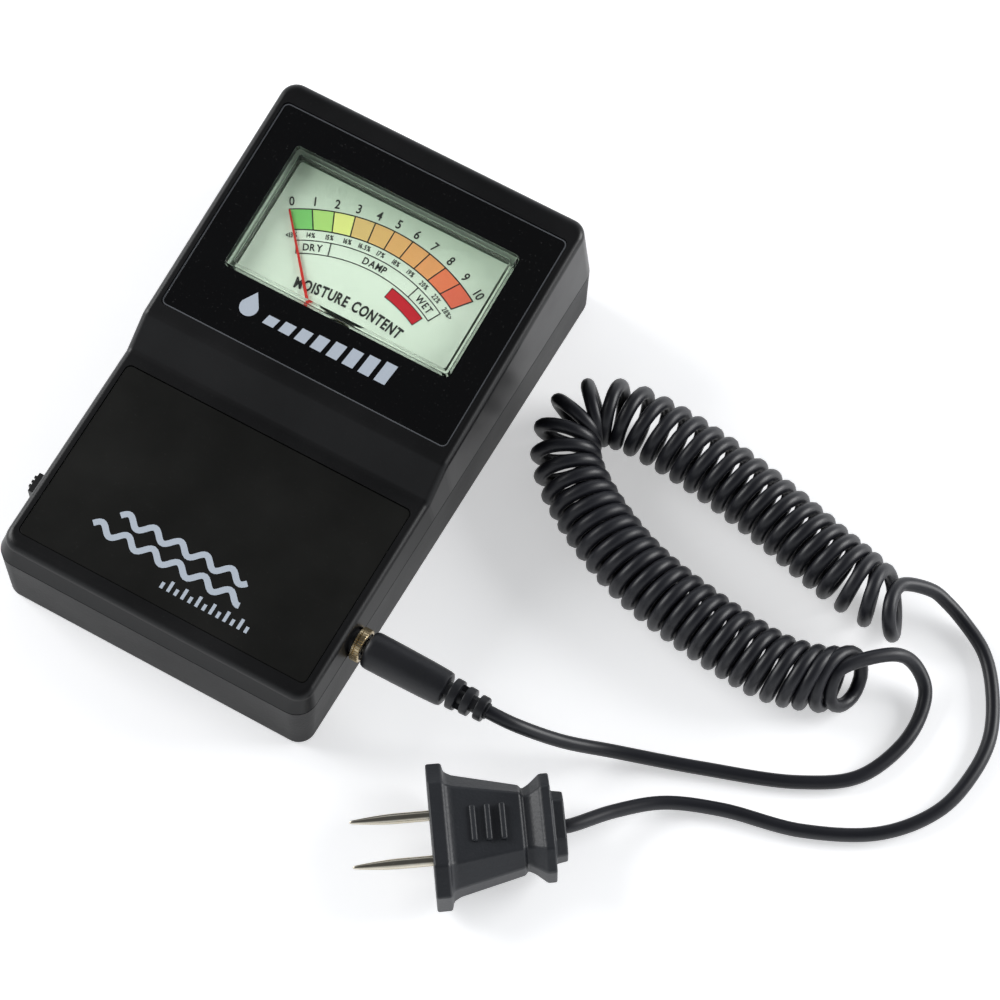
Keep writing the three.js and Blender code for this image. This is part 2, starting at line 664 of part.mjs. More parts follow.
function jackNut() {
  const ridges = 24;
  const outline = new THREE.Shape();
  for (let i = 0; i < 2 * ridges; i += 1) {
    const angle = (Math.PI * i) / ridges;
    const radius = i % 2 ? 4.1 : 3.8;
    const place = [radius * Math.cos(angle), radius * Math.sin(angle)];
    if (i === 0) outline.moveTo(...place);
    else outline.lineTo(...place);
  }
  const hole = new THREE.Path();
  hole.absarc(0, 0, 3.3, 0, 2 * Math.PI);
  outline.holes.push(hole);
  const ring = new THREE.ExtrudeGeometry(outline, { depth: 2.3, bevelEnabled: false, curveSegments: 12 });
  return ring.rotateY(Math.PI / 2).translate(CASE_WIDTH / 2 + GAP, JACK_Y, JACK_HEIGHT);
}

function switchBody() {
  const body = box(-36.4, -29.6, -6.6, 6.6, -3.1, 3.1);
  return shape(body, [], [box(-38, -34, -4.4, 4.4, -1.1, 1.1)]);
}

function switchKnob() {
  const cap = box(-42.7, -39.1, -2.6, 2.6, -1.8, 1.8);
  const added = [box(-39.5, -34.6, -1.2, 1.2, -0.8, 0.8)];
  for (const rib of [-1, 0, 1]) {
    added.push(box(-43.2, -42.5, rib * 1.2 - 0.35, rib * 1.2 + 0.35, -1.8, 1.8));
  }
  return shape(cap, added);
}

function addControls() {
  add('jack_socket', jackSocket(), COMPONENT);
  add('jack_nut', jackNut(), NICKEL);
  add('switch_body', switchBody(), COMPONENT).position.set(0, SWITCH_Y, PARTING_HEIGHT);
  add('switch_knob', switchKnob(), CASE_BLACK).position.set(0, SWITCH_Y, PARTING_HEIGHT);
}

// ---------------------------------------------------------------- plug and probe lead

function plugBody() {
  const radius = PLUG_RADIUS;
  const profile = [
    [0, PLUG_START], [radius - 0.9, PLUG_START], [radius, PLUG_START + 0.9], [radius, PLUG_END - 0.6],
    [radius - 0.6, PLUG_END], [2.1, PLUG_END + 0.1],
  ];
  const collars = 3;
  for (let i = 0; i < collars; i += 1) {
    const start = PLUG_END + 1.1 + i * 3.4;
    const collar = 3.6 - 0.35 * i;
    profile.push([2.1, start], [collar, start + 0.3], [collar, start + 2.1], [2.1, start + 2.4]);
  }
  profile.push([1.9, PLUG_END + 10.7], [0, PLUG_END + 10.7]);
  const body = turnedAlongX(profile, 18);
  const bore = rodAlongX(2.1, PLUG_START - 1, PLUG_START + 4, 0, 0, 16);
  return shape(body, [], [bore]);
}

function addPlug() {
  const plug = new THREE.Group();
  plug.position.set(0, JACK_Y, JACK_HEIGHT);
  meter.add(plug);
  add('plug_body', plugBody(), CORD_BLACK, plug);
  add('plug_sleeve', rodAlongX(1.7, 34.2, PLUG_START + 3.6, 0, 0, 16), NICKEL, plug);
  const profile = [[0, 29.9], [0.8, 30.1], [1.6, 31.2], [1.2, 32.2], [1.6, 33], [1.6, 33.9], [0, 33.9]];
  add('plug_tip', turnedAlongX(profile, 16), NICKEL, plug);
}

// Centreline of the lead's loose stretch from the plug to the curly part.
const METER_SIDE_ROUTE = [
  [76.6, -44.5, 18], [82, -43.7, 16.3], [92, -39.4, 9.2], [102, -34, 3.8], [121, -27, 1.8],
  [142, -19, 1.8], [153, -11.3, 1.8], [158, 0, 1.8], [158.4, 9, 1.9], [156.4, 15, 3.4],
  [151.6, 17.4, 7], [146.6, 14.6, 11.6], [143.6, 10.2, 14.4],
];

// Centreline of the curly part, which lies on the bench in a hairpin.
const COIL_LEVEL = 8.7;
const CURLY_ROUTE = [
  [142, 7], [134, 2.4], [125, 0.2], [115, 0.6], [104, 2], [93, 4], [84, 6.6], [75, 10.6], [67, 15.2],
  [60, 20.6], [56, 26.6], [55.6, 32.6], [59, 37.2], [65, 39.2], [72, 39.4], [81, 38.8], [91, 37.4],
  [107, 34.2], [123, 30.2], [133, 28.2], [144.4, 26.9],
].map(([x, y]) => [x, y, COIL_LEVEL]);

// Centreline of the loose stretch from the curly part to the probe.
const PROBE_SIDE_ROUTE = [
  [147.4, 35.6, 7.4], [151.4, 35.6, 5], [156.5, 34.2, 2.9], [164, 30, 1.8], [170, 22.4, 1.8],
  [174.6, 12, 1.8], [175.2, 2, 1.8], [172.7, -9.2, 1.8], [164, -20.5, 1.8], [148, -29, 1.8],
  [130, -33.5, 1.9], [118, -38.8, 2.8], [109.8, -47, 5.6], [103.1, -56.4, 9.1],
];

function addCord() {
  add('meter_side_cord', tube(METER_SIDE_ROUTE, CORD_RADIUS, 8, 30), CORD_BLACK);
  add('curly_cord', tube(CURLY_ROUTE, COIL_RADIUS, 12, 26), CORD_BLACK);
  add('probe_side_cord', tube(PROBE_SIDE_ROUTE, CORD_RADIUS, 8, 36), CORD_BLACK);
}

// ---------------------------------------------------------------- two-pin probe

// Moulded sections from the front flange to the cord: distance from the front face, half width,
// half width of the flat top, half height, half height at the side edge.
const PROBE_SECTIONS = [
  { along: 0, wide: 16, flat: 9.9, high: 8.7, edge: 4.6 },
  { along: 3.4, wide: 16, flat: 9.9, high: 8.7, edge: 4.6 },
  { along: 4, wide: 14.2, flat: 9.4, high: 7.9, edge: 3.6 },
  { along: 5.6, wide: 13.5, flat: 9, high: 7.3, edge: 3 },
  { along: 20.4, wide: 9.9, flat: 6.6, high: 6.2, edge: 2.6 },
  { along: 20.9, wide: 9, flat: 6, high: 5.2, edge: 2.4 },
  { along: 22.6, wide: 10, flat: 6.2, high: 5.4, edge: 2.4 },
  { along: 24.4, wide: 11.4, flat: 7, high: 6.4, edge: 3 },
  { along: 25, wide: 11.9, flat: 7.4, high: 7, edge: 3.4 },
  { along: 27.2, wide: 11.9, flat: 7.4, high: 7, edge: 3.4 },
  { along: 27.3, wide: 8, flat: 4.8, high: 4.8, edge: 2.4 },
  { along: 30, wide: 7.6, flat: 4.6, high: 4.6, edge: 2.2 },
];

function probeRing({ along, wide, flat, high, edge }) {
  const right = [[flat, -high], [wide, -edge], [wide, edge], [flat, high]];
  const left = right.map(([y, z]) => [-y, z]).reverse();
  return [...right, ...left].map(([y, z]) => [along, y, z]);
}

function probeBody() {
  const ribs = [];
  for (const along of [9.5, 12.8, 16.1]) {
    ribs.push(box(along - 0.7, along + 0.7, -4.2, 4.2, 5.5, 7.7));
    ribs.push(box(along - 0.7, along + 0.7, -4.2, 4.2, -7.7, -5.5));
  }
  const bores = [-1, 1].map((side) => rodAlongX(PIN_RADIUS + GAP, -1, 8, side * PIN_SPACING / 2, 0, 12));
  return shape(loft(PROBE_SECTIONS.map(probeRing)), ribs, bores);
}

function addProbe() {
  const probe = new THREE.Group();
  probe.position.set(78, -74, 9.1);
  probe.rotation.z = THREE.MathUtils.degToRad(35);
  meter.add(probe);
  add('probe_body', probeBody(), PROBE_GREY, probe);
  [-1, 1].forEach((side, i) => {
    const pin = turnedAlongX([
      [0, -PIN_LENGTH], [0.35, -PIN_LENGTH + 1.2], [PIN_RADIUS, -7], [PIN_RADIUS, 7.6], [0, 7.6],
    ], 12);
    add(`probe_pin_${i + 1}`, pin, NICKEL, probe).position.set(0, side * PIN_SPACING / 2, 0);
  });
}

addCase();
addMeterMovement();
addBoard();
addBattery();
addLeads();
addControls();
addPlug();
addCord();
addProbe();

export default meter;
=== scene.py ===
from math import atan2, cos, degrees, pi, radians, sin, sqrt, tan

import bmesh
import bpy
from mathutils import Matrix, Vector


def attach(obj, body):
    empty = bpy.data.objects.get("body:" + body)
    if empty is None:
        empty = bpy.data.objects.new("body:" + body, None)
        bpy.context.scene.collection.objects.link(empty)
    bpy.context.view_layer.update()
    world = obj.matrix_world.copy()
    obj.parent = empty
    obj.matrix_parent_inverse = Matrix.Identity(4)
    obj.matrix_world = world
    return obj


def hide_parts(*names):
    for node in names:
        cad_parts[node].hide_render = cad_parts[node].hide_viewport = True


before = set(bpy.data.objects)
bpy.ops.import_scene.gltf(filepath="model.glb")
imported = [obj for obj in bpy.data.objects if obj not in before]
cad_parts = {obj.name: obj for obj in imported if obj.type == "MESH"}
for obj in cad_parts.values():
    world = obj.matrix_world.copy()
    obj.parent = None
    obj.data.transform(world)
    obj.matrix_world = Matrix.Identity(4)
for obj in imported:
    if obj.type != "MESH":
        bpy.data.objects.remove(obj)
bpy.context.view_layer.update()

MM = 0.001

# ---------------------------------------------------------------- sizes, in millimetres

CASE_HALF_WIDTH = 41.5
CASE_HALF_LENGTH = 67.0
CORNER_RADIUS = 5.0
CORNER_STEPS = 10
WALL = 2.4
FLOOR = 2.2
PARTING_HEIGHT = 18.0
PARTING_GAP = 0.3
BASE_DRAFT = 0.9

GRIP_END = (-61.0, 23.2)
SLOPE_FOOT = (-9.8, 25.4)
HEAD_EDGE = (-1.6, 31.0)
HEAD_TILT = radians(6.7)
BEND_REACH = 0.7

FASCIA = (-38.2, 38.2, 3.3, 61.1)
LABEL = (-38.1, 38.1, -61.0, -12.9)
WINDOW = (-29.8, 29.8, 18.9, 52.4)
WINDOW_FRAME = 1.4
COVER_TOP = 0.7
DIAL_LEVEL = -5.0
FASCIA_PRINT = (-0.42, -0.37)
LABEL_PRINT = (-0.22, -0.17)
PIVOT = Vector((0.0, 10.3))

BATTERY_DOOR = (-27.7, 27.7, -62.3, -33.7)
JACK = (-44.5, 18.0)
SWITCH = (-47.3, 18.0)
SWITCH_REACH = 5.4
SCREW_CORNERS = [(34.5, -60.0), (34.5, 60.0), (-34.5, 60.0), (-34.5, -60.0)]
METER_SCREWS = [(-34.8, 30.0), (34.8, 30.0)]

CORD_RADIUS = 1.65
COIL_RADIUS = 6.75

HEAD = Matrix.Translation((0.0, HEAD_EDGE[0], HEAD_EDGE[1])) @ Matrix.Rotation(HEAD_TILT, 4, "X")
GRIP_TILT = atan2(SLOPE_FOOT[1] - GRIP_END[1], SLOPE_FOOT[0] - GRIP_END[0])
GRIP = Matrix.Translation((0.0, GRIP_END[0], GRIP_END[1])) @ Matrix.Rotation(GRIP_TILT, 4, "X")
PROBE = Matrix.Translation((78.0, -74.0, 9.1)) @ Matrix.Rotation(radians(35.0), 4, "Z")

# ---------------------------------------------------------------- meshes


def mesh_from(verts, faces, name="part"):
    """A closed mesh with its faces turned outwards."""
    mesh = bpy.data.meshes.new(name)
    mesh.from_pydata([tuple(v) for v in verts], [], faces)
    edit = bmesh.new()
    edit.from_mesh(mesh)
    bmesh.ops.remove_doubles(edit, verts=edit.verts, dist=1e-4)
    bmesh.ops.recalc_face_normals(edit, faces=edit.faces)
    edit.to_mesh(mesh)
    edit.free()
    return mesh


def moved(mesh, matrix):
    mesh.transform(matrix)
    if matrix.determinant() < 0:
        mesh.flip_normals()
    return mesh


def skin(rings):
    """Joins a stack of matching closed rings and caps both ends with one face each."""
    count = len(rings[0])
    verts = [p for ring in rings for p in ring]
    faces = []
    for tier in range(len(rings) - 1):
        for i in range(count):
            j = (i + 1) % count
            a, b = tier * count, (tier + 1) * count
            faces.append((a + i, a + j, b + j, b + i))
    faces.append(tuple(reversed(range(count))))
    faces.append(tuple(range((len(rings) - 1) * count, len(rings) * count)))
    return mesh_from(verts, faces)


def ladder_skin(rings):
    """Like skin, for rings that run up the right side and back down the left: the ends close as
    a ladder of rungs, so they follow a top surface that bends along the case."""
    count = len(rings[0])
    verts = [p for ring in rings for p in ring]
    faces = []
    for tier in range(len(rings) - 1):
        for i in range(count):
            j = (i + 1) % count
            a, b = tier * count, (tier + 1) * count
            faces.append((a + i, a + j, b + j, b + i))
    last = (len(rings) - 1) * count
    for i in range(count // 2 - 1):
        across = count - 1 - i
        faces.append((i, across, across - 1, i + 1))
        faces.append((last + i, last + i + 1, last + across - 1, last + across))
    return mesh_from(verts, faces)


def rounded_outline(x0, x1, y0, y1, radius, steps=6):
    corners = [(x1 - radius, y0 + radius, -90), (x1 - radius, y1 - radius, 0),
               (x0 + radius, y1 - radius, 90), (x0 + radius, y0 + radius, 180)]
    points = []
    for cx, cy, start in corners:
        for k in range(steps + 1):
            angle = radians(start + 90.0 * k / steps)
            points.append((cx + radius * cos(angle), cy + radius * sin(angle)))
    return points


def prism(outline, z0, z1):
    return skin([[(x, y, z0) for x, y in outline], [(x, y, z1) for x, y in outline]])


def plate(bounds, z0, z1, radius, inset=0.0, steps=6):
    x0, x1, y0, y1 = bounds
    outline = rounded_outline(x0 + inset, x1 - inset, y0 + inset, y1 - inset, radius, steps)
    return prism(outline, z0, z1)


def block(x0, x1, y0, y1, z0, z1):
    return prism([(x0, y0), (x1, y0), (x1, y1), (x0, y1)], z0, z1)


def turned(profile, sides=32):
    """A solid of revolution about Z from (radius, height) pairs that start and end on the axis."""
    verts = []
    rows = []
    for radius, height in profile:
        if radius == 0:
            rows.append([len(verts)] * sides)
            verts.append((0.0, 0.0, height))
            continue
        rows.append(list(range(len(verts), len(verts) + sides)))
        for k in range(sides):
            angle = 2 * pi * k / sides
            verts.append((radius * cos(angle), radius * sin(angle), height))
    faces = []
    for low, high in zip(rows, rows[1:]):
        for k in range(sides):
            j = (k + 1) % sides
            face = list(dict.fromkeys((low[k], low[j], high[j], high[k])))
            if len(face) > 2:
                faces.append(tuple(face))
    return mesh_from(verts, faces)


ALONG_X = Matrix.Rotation(pi / 2, 4, "Y")


def turned_along_x(profile, sides=32):
    return moved(turned(profile, sides), ALONG_X)


def rod(radius, z0, z1, sides=32):
    return turned([(0, z0), (radius, z0), (radius, z1), (0, z1)], sides)


def arc_strip(inner, outer, start, end, z0, z1, centre=(0.0, 0.0), steps=24):
    """A thin sector of a ring. Angles are in degrees, clockwise from +Y."""
    def point(radius, k):
        angle = radians(start + (end - start) * k / steps)
        return centre[0] + radius * sin(angle), centre[1] + radius * cos(angle)
    rim = [point(outer, k) for k in range(steps + 1)]
    rim += [point(inner, k) for k in range(steps, -1, -1)]
    return prism(rim, z0, z1)


def stroke(points, width, z0, z1):
    """A flat line of that width through 2-D points."""
    left, right = [], []
    for i, p in enumerate(points):
        before = Vector(points[max(i - 1, 0)])
        after = Vector(points[min(i + 1, len(points) - 1)])
        along = (after - before).normalized()
        side = Vector((-along.y, along.x)) * width / 2
        left.append(tuple(Vector(p) + side))
        right.append(tuple(Vector(p) - side))
    verts = []
    for height in (z0, z1):
        verts += [(x, y, height) for x, y in left] + [(x, y, height) for x, y in right]
    n = len(points)
    faces = []
    for i in range(n - 1):
        faces.append((i, i + 1, n + i + 1, n + i))
        faces.append((2 * n + i, 3 * n + i, 3 * n + i + 1, 2 * n + i + 1))
        faces.append((i, 2 * n + i, 2 * n + i + 1, i + 1))
        faces.append((n + i, n + i + 1, 3 * n + i + 1, 3 * n + i))
    for i in (0, n - 1):
        faces.append((i, n + i, 3 * n + i, 2 * n + i))
    return mesh_from(verts, faces)


def joined(meshes, name="part"):
    """Several separate solids as one mesh."""
    edit = bmesh.new()
    for mesh in meshes:
        edit.from_mesh(mesh)
    out = bpy.data.meshes.new(name)
    edit.to_mesh(out)
    edit.free()
    for mesh in meshes:
        bpy.data.meshes.remove(mesh)
    return out


def in_scene(name, mesh):
    thing = bpy.data.objects.new(name, mesh)
    bpy.context.scene.collection.objects.link(thing)
    return thing


def as_plain_mesh(thing):
    """The object's mesh with its modifiers carried out."""
    bpy.context.view_layer.update()
    view = bpy.context.evaluated_depsgraph_get()
    mesh = bpy.data.meshes.new_from_object(thing.evaluated_get(view))
    thing.modifiers.clear()
    return mesh


def carved(base, added=(), cut=()):
    """base with solids added to it and then cut out of it."""
    body = in_scene("carving", base)
    tools = []
    for meshes, operation in ((added, "UNION"), (cut, "DIFFERENCE")):
        for mesh in meshes:
            tool = in_scene("carving_tool", mesh)
            step = body.modifiers.new("carve", "BOOLEAN")
            step.operation = operation
            step.solver = "EXACT"
            step.object = tool
            tools.append(tool)
    mesh = as_plain_mesh(body)
    for thing in [body, *tools]:
        old = thing.data
        bpy.data.objects.remove(thing)
        bpy.data.meshes.remove(old)
    edit = bmesh.new()
    edit.from_mesh(mesh)
    bmesh.ops.remove_doubles(edit, verts=edit.verts, dist=1e-4)
    bmesh.ops.dissolve_limit(edit, angle_limit=radians(0.3), verts=edit.verts, edges=edit.edges)
    edit.to_mesh(mesh)
    edit.free()
    return mesh


def softened(mesh, width, steps=3, angle=32.0):
    """The mesh with its sharp edges rounded off."""
    body = in_scene("softening", mesh)
    step = body.modifiers.new("soften", "BEVEL")
    step.width = width
    step.segments = steps
    step.limit_method = "ANGLE"
    step.angle_limit = radians(angle)
    step.miter_outer = "MITER_ARC"
    step.harden_normals = False
    out = as_plain_mesh(body)
    bpy.data.objects.remove(body)
    bpy.data.meshes.remove(mesh)
    return out


def with_flat_faces(mesh):
    """The mesh with its large faces shaded flat, so only the rounded edges between them bend."""
    body = in_scene("shading", mesh)
    step = body.modifiers.new("shade", "WEIGHTED_NORMAL")
    step.mode = "FACE_AREA"
    step.weight = 100
    step.keep_sharp = True
    out = as_plain_mesh(body)
    out.name = mesh.name + "_mesh"
    bpy.data.objects.remove(body)
    bpy.data.meshes.remove(mesh)
    return out


def piece(name, mesh, material, body="case", replaces=(), smooth=40.0):
    """A finished piece in metres, riding on its body."""
    mesh.name = name
    mesh.transform(Matrix.Scale(MM, 4))
    mesh.materials.clear()
    mesh.materials.append(material)
    for face in mesh.polygons:
        face.material_index = 0
    if smooth:
        mesh.shade_smooth()
        mesh.set_sharp_from_angle(angle=radians(smooth))
        mesh = with_flat_faces(mesh)
    thing = in_scene(name, mesh)
    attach(thing, body)
    if replaces:
        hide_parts(*replaces)
    return thing


# ---------------------------------------------------------------- repeating trees


def add_node(tree, kind, settings=None, inputs=None):
    """A node with its settings, and each input set to a value or linked from a socket."""
    made = tree.nodes.new(kind)
    for key, value in (settings or {}).items():
        setattr(made, key, value)
    for key, value in (inputs or {}).items():
        if isinstance(value, bpy.types.NodeSocket):
            tree.links.new(value, made.inputs[key])
        else:
            made.inputs[key].default_value = value
    return made


def repeating_tree(name, inputs):
    tree = bpy.data.node_groups.new(name, "GeometryNodeTree")
    tree.interface.new_socket("Geometry", in_out="INPUT", socket_type="NodeSocketGeometry")
    for label, kind in inputs:
        tree.interface.new_socket(label, in_out="INPUT", socket_type=kind)
    tree.interface.new_socket("Geometry", in_out="OUTPUT", socket_type="NodeSocketGeometry")
    return tree, add_node(tree, "NodeGroupInput")


def finish_tree(tree, given, points, rotation=None):
    """Puts the part on the points, makes the copies real and gives them the material."""
    part = add_node(tree, "GeometryNodeObjectInfo", {"transform_space": "ORIGINAL"},
                    {"Object": given.outputs["Part"]})
    copies = add_node(tree, "GeometryNodeInstanceOnPoints", None,
                      {"Points": points, "Instance": part.outputs["Geometry"]})
    if rotation is not None:
        tree.links.new(rotation, copies.inputs["Rotation"])
    real = add_node(tree, "GeometryNodeRealizeInstances", None,
                    {"Geometry": copies.outputs["Instances"]})
    coated = add_node(tree, "GeometryNodeSetMaterial", None,
                      {"Geometry": real.outputs["Geometry"], "Material": given.outputs["Material"]})
    add_node(tree, "NodeGroupOutput", None, {"Geometry": coated.outputs["Geometry"]})
    return tree


def row_tree():
    tree, given = repeating_tree("Repeat in a row", [
        ("Part", "NodeSocketObject"), ("Material", "NodeSocketMaterial"),
        ("Count", "NodeSocketInt"), ("Start", "NodeSocketVector"), ("Step", "NodeSocketVector")])
    line = add_node(tree, "GeometryNodeMeshLine", {"mode": "OFFSET"}, {
        "Count": given.outputs["Count"], "Start Location": given.outputs["Start"],
        "Offset": given.outputs["Step"]})
    return finish_tree(tree, given, line.outputs["Mesh"])


def ring_tree():
    tree, given = repeating_tree("Repeat round an axis", [
        ("Part", "NodeSocketObject"), ("Material", "NodeSocketMaterial"),
        ("Count", "NodeSocketInt"), ("Axis", "NodeSocketVector"), ("Step", "NodeSocketFloat")])
    points = add_node(tree, "GeometryNodePoints", None, {"Count": given.outputs["Count"]})
    place = add_node(tree, "GeometryNodeInputIndex")
    angle = add_node(tree, "ShaderNodeMath", {"operation": "MULTIPLY"})
    tree.links.new(place.outputs["Index"], angle.inputs[0])
    tree.links.new(given.outputs["Step"], angle.inputs[1])
    turn = add_node(tree, "FunctionNodeAxisAngleToRotation", None, {
        "Axis": given.outputs["Axis"], "Angle": angle.outputs["Value"]})
    return finish_tree(tree, given, points.outputs["Points"], turn.outputs["Rotation"])


def scatter_tree():
    tree, given = repeating_tree("Repeat at each place", [
        ("Part", "NodeSocketObject"), ("Material", "NodeSocketMaterial")])
    return finish_tree(tree, given, given.outputs["Geometry"])


IN_A_ROW = row_tree()
ROUND_AN_AXIS = ring_tree()
AT_EACH_PLACE = scatter_tree()


def repeated(tree, part, material, places=None, **values):
    """The mesh a repeating tree makes from one part. places are its points, if it takes any."""
    seed = bpy.data.meshes.new("places")
    seed.from_pydata(places or [], [], [])
    holder = in_scene("repeating", seed)
    single = in_scene("repeated_part", part)
    step = holder.modifiers.new("repeat", "NODES")
    step.node_group = tree
    wanted = {"Part": single, "Material": material, **values}
    for item in tree.interface.items_tree:
        if item.in_out == "INPUT" and item.name in wanted:
            step[item.identifier] = wanted[item.name]
    mesh = as_plain_mesh(holder)
    bpy.data.objects.remove(holder)
    bpy.data.objects.remove(single)
    bpy.data.meshes.remove(seed)
    bpy.data.meshes.remove(part)
    return mesh


# ---------------------------------------------------------------- finishes


def tone(red, green, blue):
    """A display colour from 0 to 255 as the linear colour a shader takes."""
    def linear(value):
        value /= 255.0
        return value / 12.92 if value <= 0.04045 else ((value + 0.055) / 1.055) ** 2.4
    return linear(red), linear(green), linear(blue), 1.0


def effect_group(name, inputs, outputs):
    tree = bpy.data.node_groups.new(name, "ShaderNodeTree")
    for label, kind, value in inputs:
        socket = tree.interface.new_socket(label, in_out="INPUT", socket_type=kind)
        if value is not None:
            socket.default_value = value
    for label, kind in outputs:
        tree.interface.new_socket(label, in_out="OUTPUT", socket_type=kind)
    return tree, add_node(tree, "NodeGroupInput")


FLOAT, VECTOR, COLOUR = "NodeSocketFloat", "NodeSocketVector", "NodeSocketColor"


def grain_group():
    """Fine moulded or etched grain: a height for bump and a value for colour."""
    tree, given = effect_group("Moulded grain", [
        ("Vector", VECTOR, None), ("Scale", FLOAT, 2500.0), ("Depth", FLOAT, 1.0)],
        [("Height", FLOAT), ("Value", FLOAT)])
    noise = add_node(tree, "ShaderNodeTexNoise", None, {
        "Vector": given.outputs["Vector"], "Scale": given.outputs["Scale"],
        "Detail": 3.0, "Roughness": 0.6})
    pits = add_node(tree, "ShaderNodeTexVoronoi", {"feature": "SMOOTH_F1"}, {
        "Vector": given.outputs["Vector"], "Scale": given.outputs["Scale"], "Smoothness": 0.6})
    both = add_node(tree, "ShaderNodeMath", {"operation": "ADD"})
    tree.links.new(noise.outputs["Fac"], both.inputs[0])
    tree.links.new(pits.outputs["Distance"], both.inputs[1])
    height = add_node(tree, "ShaderNodeMath", {"operation": "MULTIPLY"})
    tree.links.new(both.outputs["Value"], height.inputs[0])
    tree.links.new(given.outputs["Depth"], height.inputs[1])
    add_node(tree, "NodeGroupOutput", None, {
        "Height": height.outputs["Value"], "Value": noise.outputs["Fac"]})
    return tree


def handling_group():
    """Soft patches and faint scratches that handling leaves: a mask from 0 to 1."""
    tree, given = effect_group("Handling marks", [
        ("Vector", VECTOR, None), ("Patch scale", FLOAT, 45.0), ("Scratches", FLOAT, 0.3)],
        [("Mask", FLOAT)])
    patches = add_node(tree, "ShaderNodeTexNoise", None, {
        "Vector": given.outputs["Vector"], "Scale": given.outputs["Patch scale"],
        "Detail": 4.0, "Roughness": 0.55})
    stretch = add_node(tree, "ShaderNodeMapping", None, {
        "Vector": given.outputs["Vector"], "Rotation": (0.0, 0.0, 0.6), "Scale": (60.0, 2200.0, 900.0)})
    lines = add_node(tree, "ShaderNodeTexNoise", None, {
        "Vector": stretch.outputs["Vector"], "Scale": 1.0, "Detail": 2.0})
    sharp = add_node(tree, "ShaderNodeMapRange", None, {
        "Value": lines.outputs["Fac"], "From Min": 0.66, "From Max": 0.8})
    faint = add_node(tree, "ShaderNodeMath", {"operation": "MULTIPLY"})
    tree.links.new(sharp.outputs["Result"], faint.inputs[0])
    tree.links.new(given.outputs["Scratches"], faint.inputs[1])
    soft = add_node(tree, "ShaderNodeMapRange", None, {
        "Value": patches.outputs["Fac"], "From Min": 0.3, "From Max": 0.75})
    total = add_node(tree, "ShaderNodeMath", {"operation": "ADD", "use_clamp": True})
    tree.links.new(soft.outputs["Result"], total.inputs[0])
    tree.links.new(faint.outputs["Value"], total.inputs[1])
    add_node(tree, "NodeGroupOutput", None, {"Mask": total.outputs["Value"]})
    return tree


def dust_group():
    """Light dust that gathers on faces that look up: a mask from 0 to 1."""
    tree, given = effect_group("Settled dust", [
        ("Vector", VECTOR, None), ("Amount", FLOAT, 0.1)], [("Mask", FLOAT)])
    specks = add_node(tree, "ShaderNodeTexNoise", None, {
        "Vector": given.outputs["Vector"], "Scale": 1400.0, "Detail": 5.0, "Roughness": 0.7})
    few = add_node(tree, "ShaderNodeMapRange", None, {
        "Value": specks.outputs["Fac"], "From Min": 0.62, "From Max": 0.8})
    facing = add_node(tree, "ShaderNodeNewGeometry")
    split = add_node(tree, "ShaderNodeSeparateXYZ", None, {"Vector": facing.outputs["Normal"]})
    up = add_node(tree, "ShaderNodeMapRange", None, {
        "Value": split.outputs["Z"], "From Min": 0.5, "From Max": 1.0})
    there = add_node(tree, "ShaderNodeMath", {"operation": "MULTIPLY"})
    tree.links.new(few.outputs["Result"], there.inputs[0])
    tree.links.new(up.outputs["Result"], there.inputs[1])
    scaled = add_node(tree, "ShaderNodeMath", {"operation": "MULTIPLY", "use_clamp": True})
    tree.links.new(there.outputs["Value"], scaled.inputs[0])
    tree.links.new(given.outputs["Amount"], scaled.inputs[1])
    add_node(tree, "NodeGroupOutput", None, {"Mask": scaled.outputs["Value"]})
    return tree


def brushed_group():
    """Fine lines left by turning, drawing or brushing: a value from 0 to 1."""
    tree, given = effect_group("Tool lines", [
        ("Vector", VECTOR, None), ("Squash", VECTOR, (4000.0, 150.0, 150.0))], [("Value", FLOAT)])
    lines = add_node(tree, "ShaderNodeVectorMath", {"operation": "MULTIPLY"})
    tree.links.new(given.outputs["Vector"], lines.inputs[0])
    tree.links.new(given.outputs["Squash"], lines.inputs[1])
    noise = add_node(tree, "ShaderNodeTexNoise", None, {
        "Vector": lines.outputs["Vector"], "Scale": 1.0, "Detail": 3.0})
    add_node(tree, "NodeGroupOutput", None, {"Value": noise.outputs["Fac"]})
    return tree


GRAIN = grain_group()
HANDLING = handling_group()
DUST = dust_group()
BRUSHED = brushed_group()


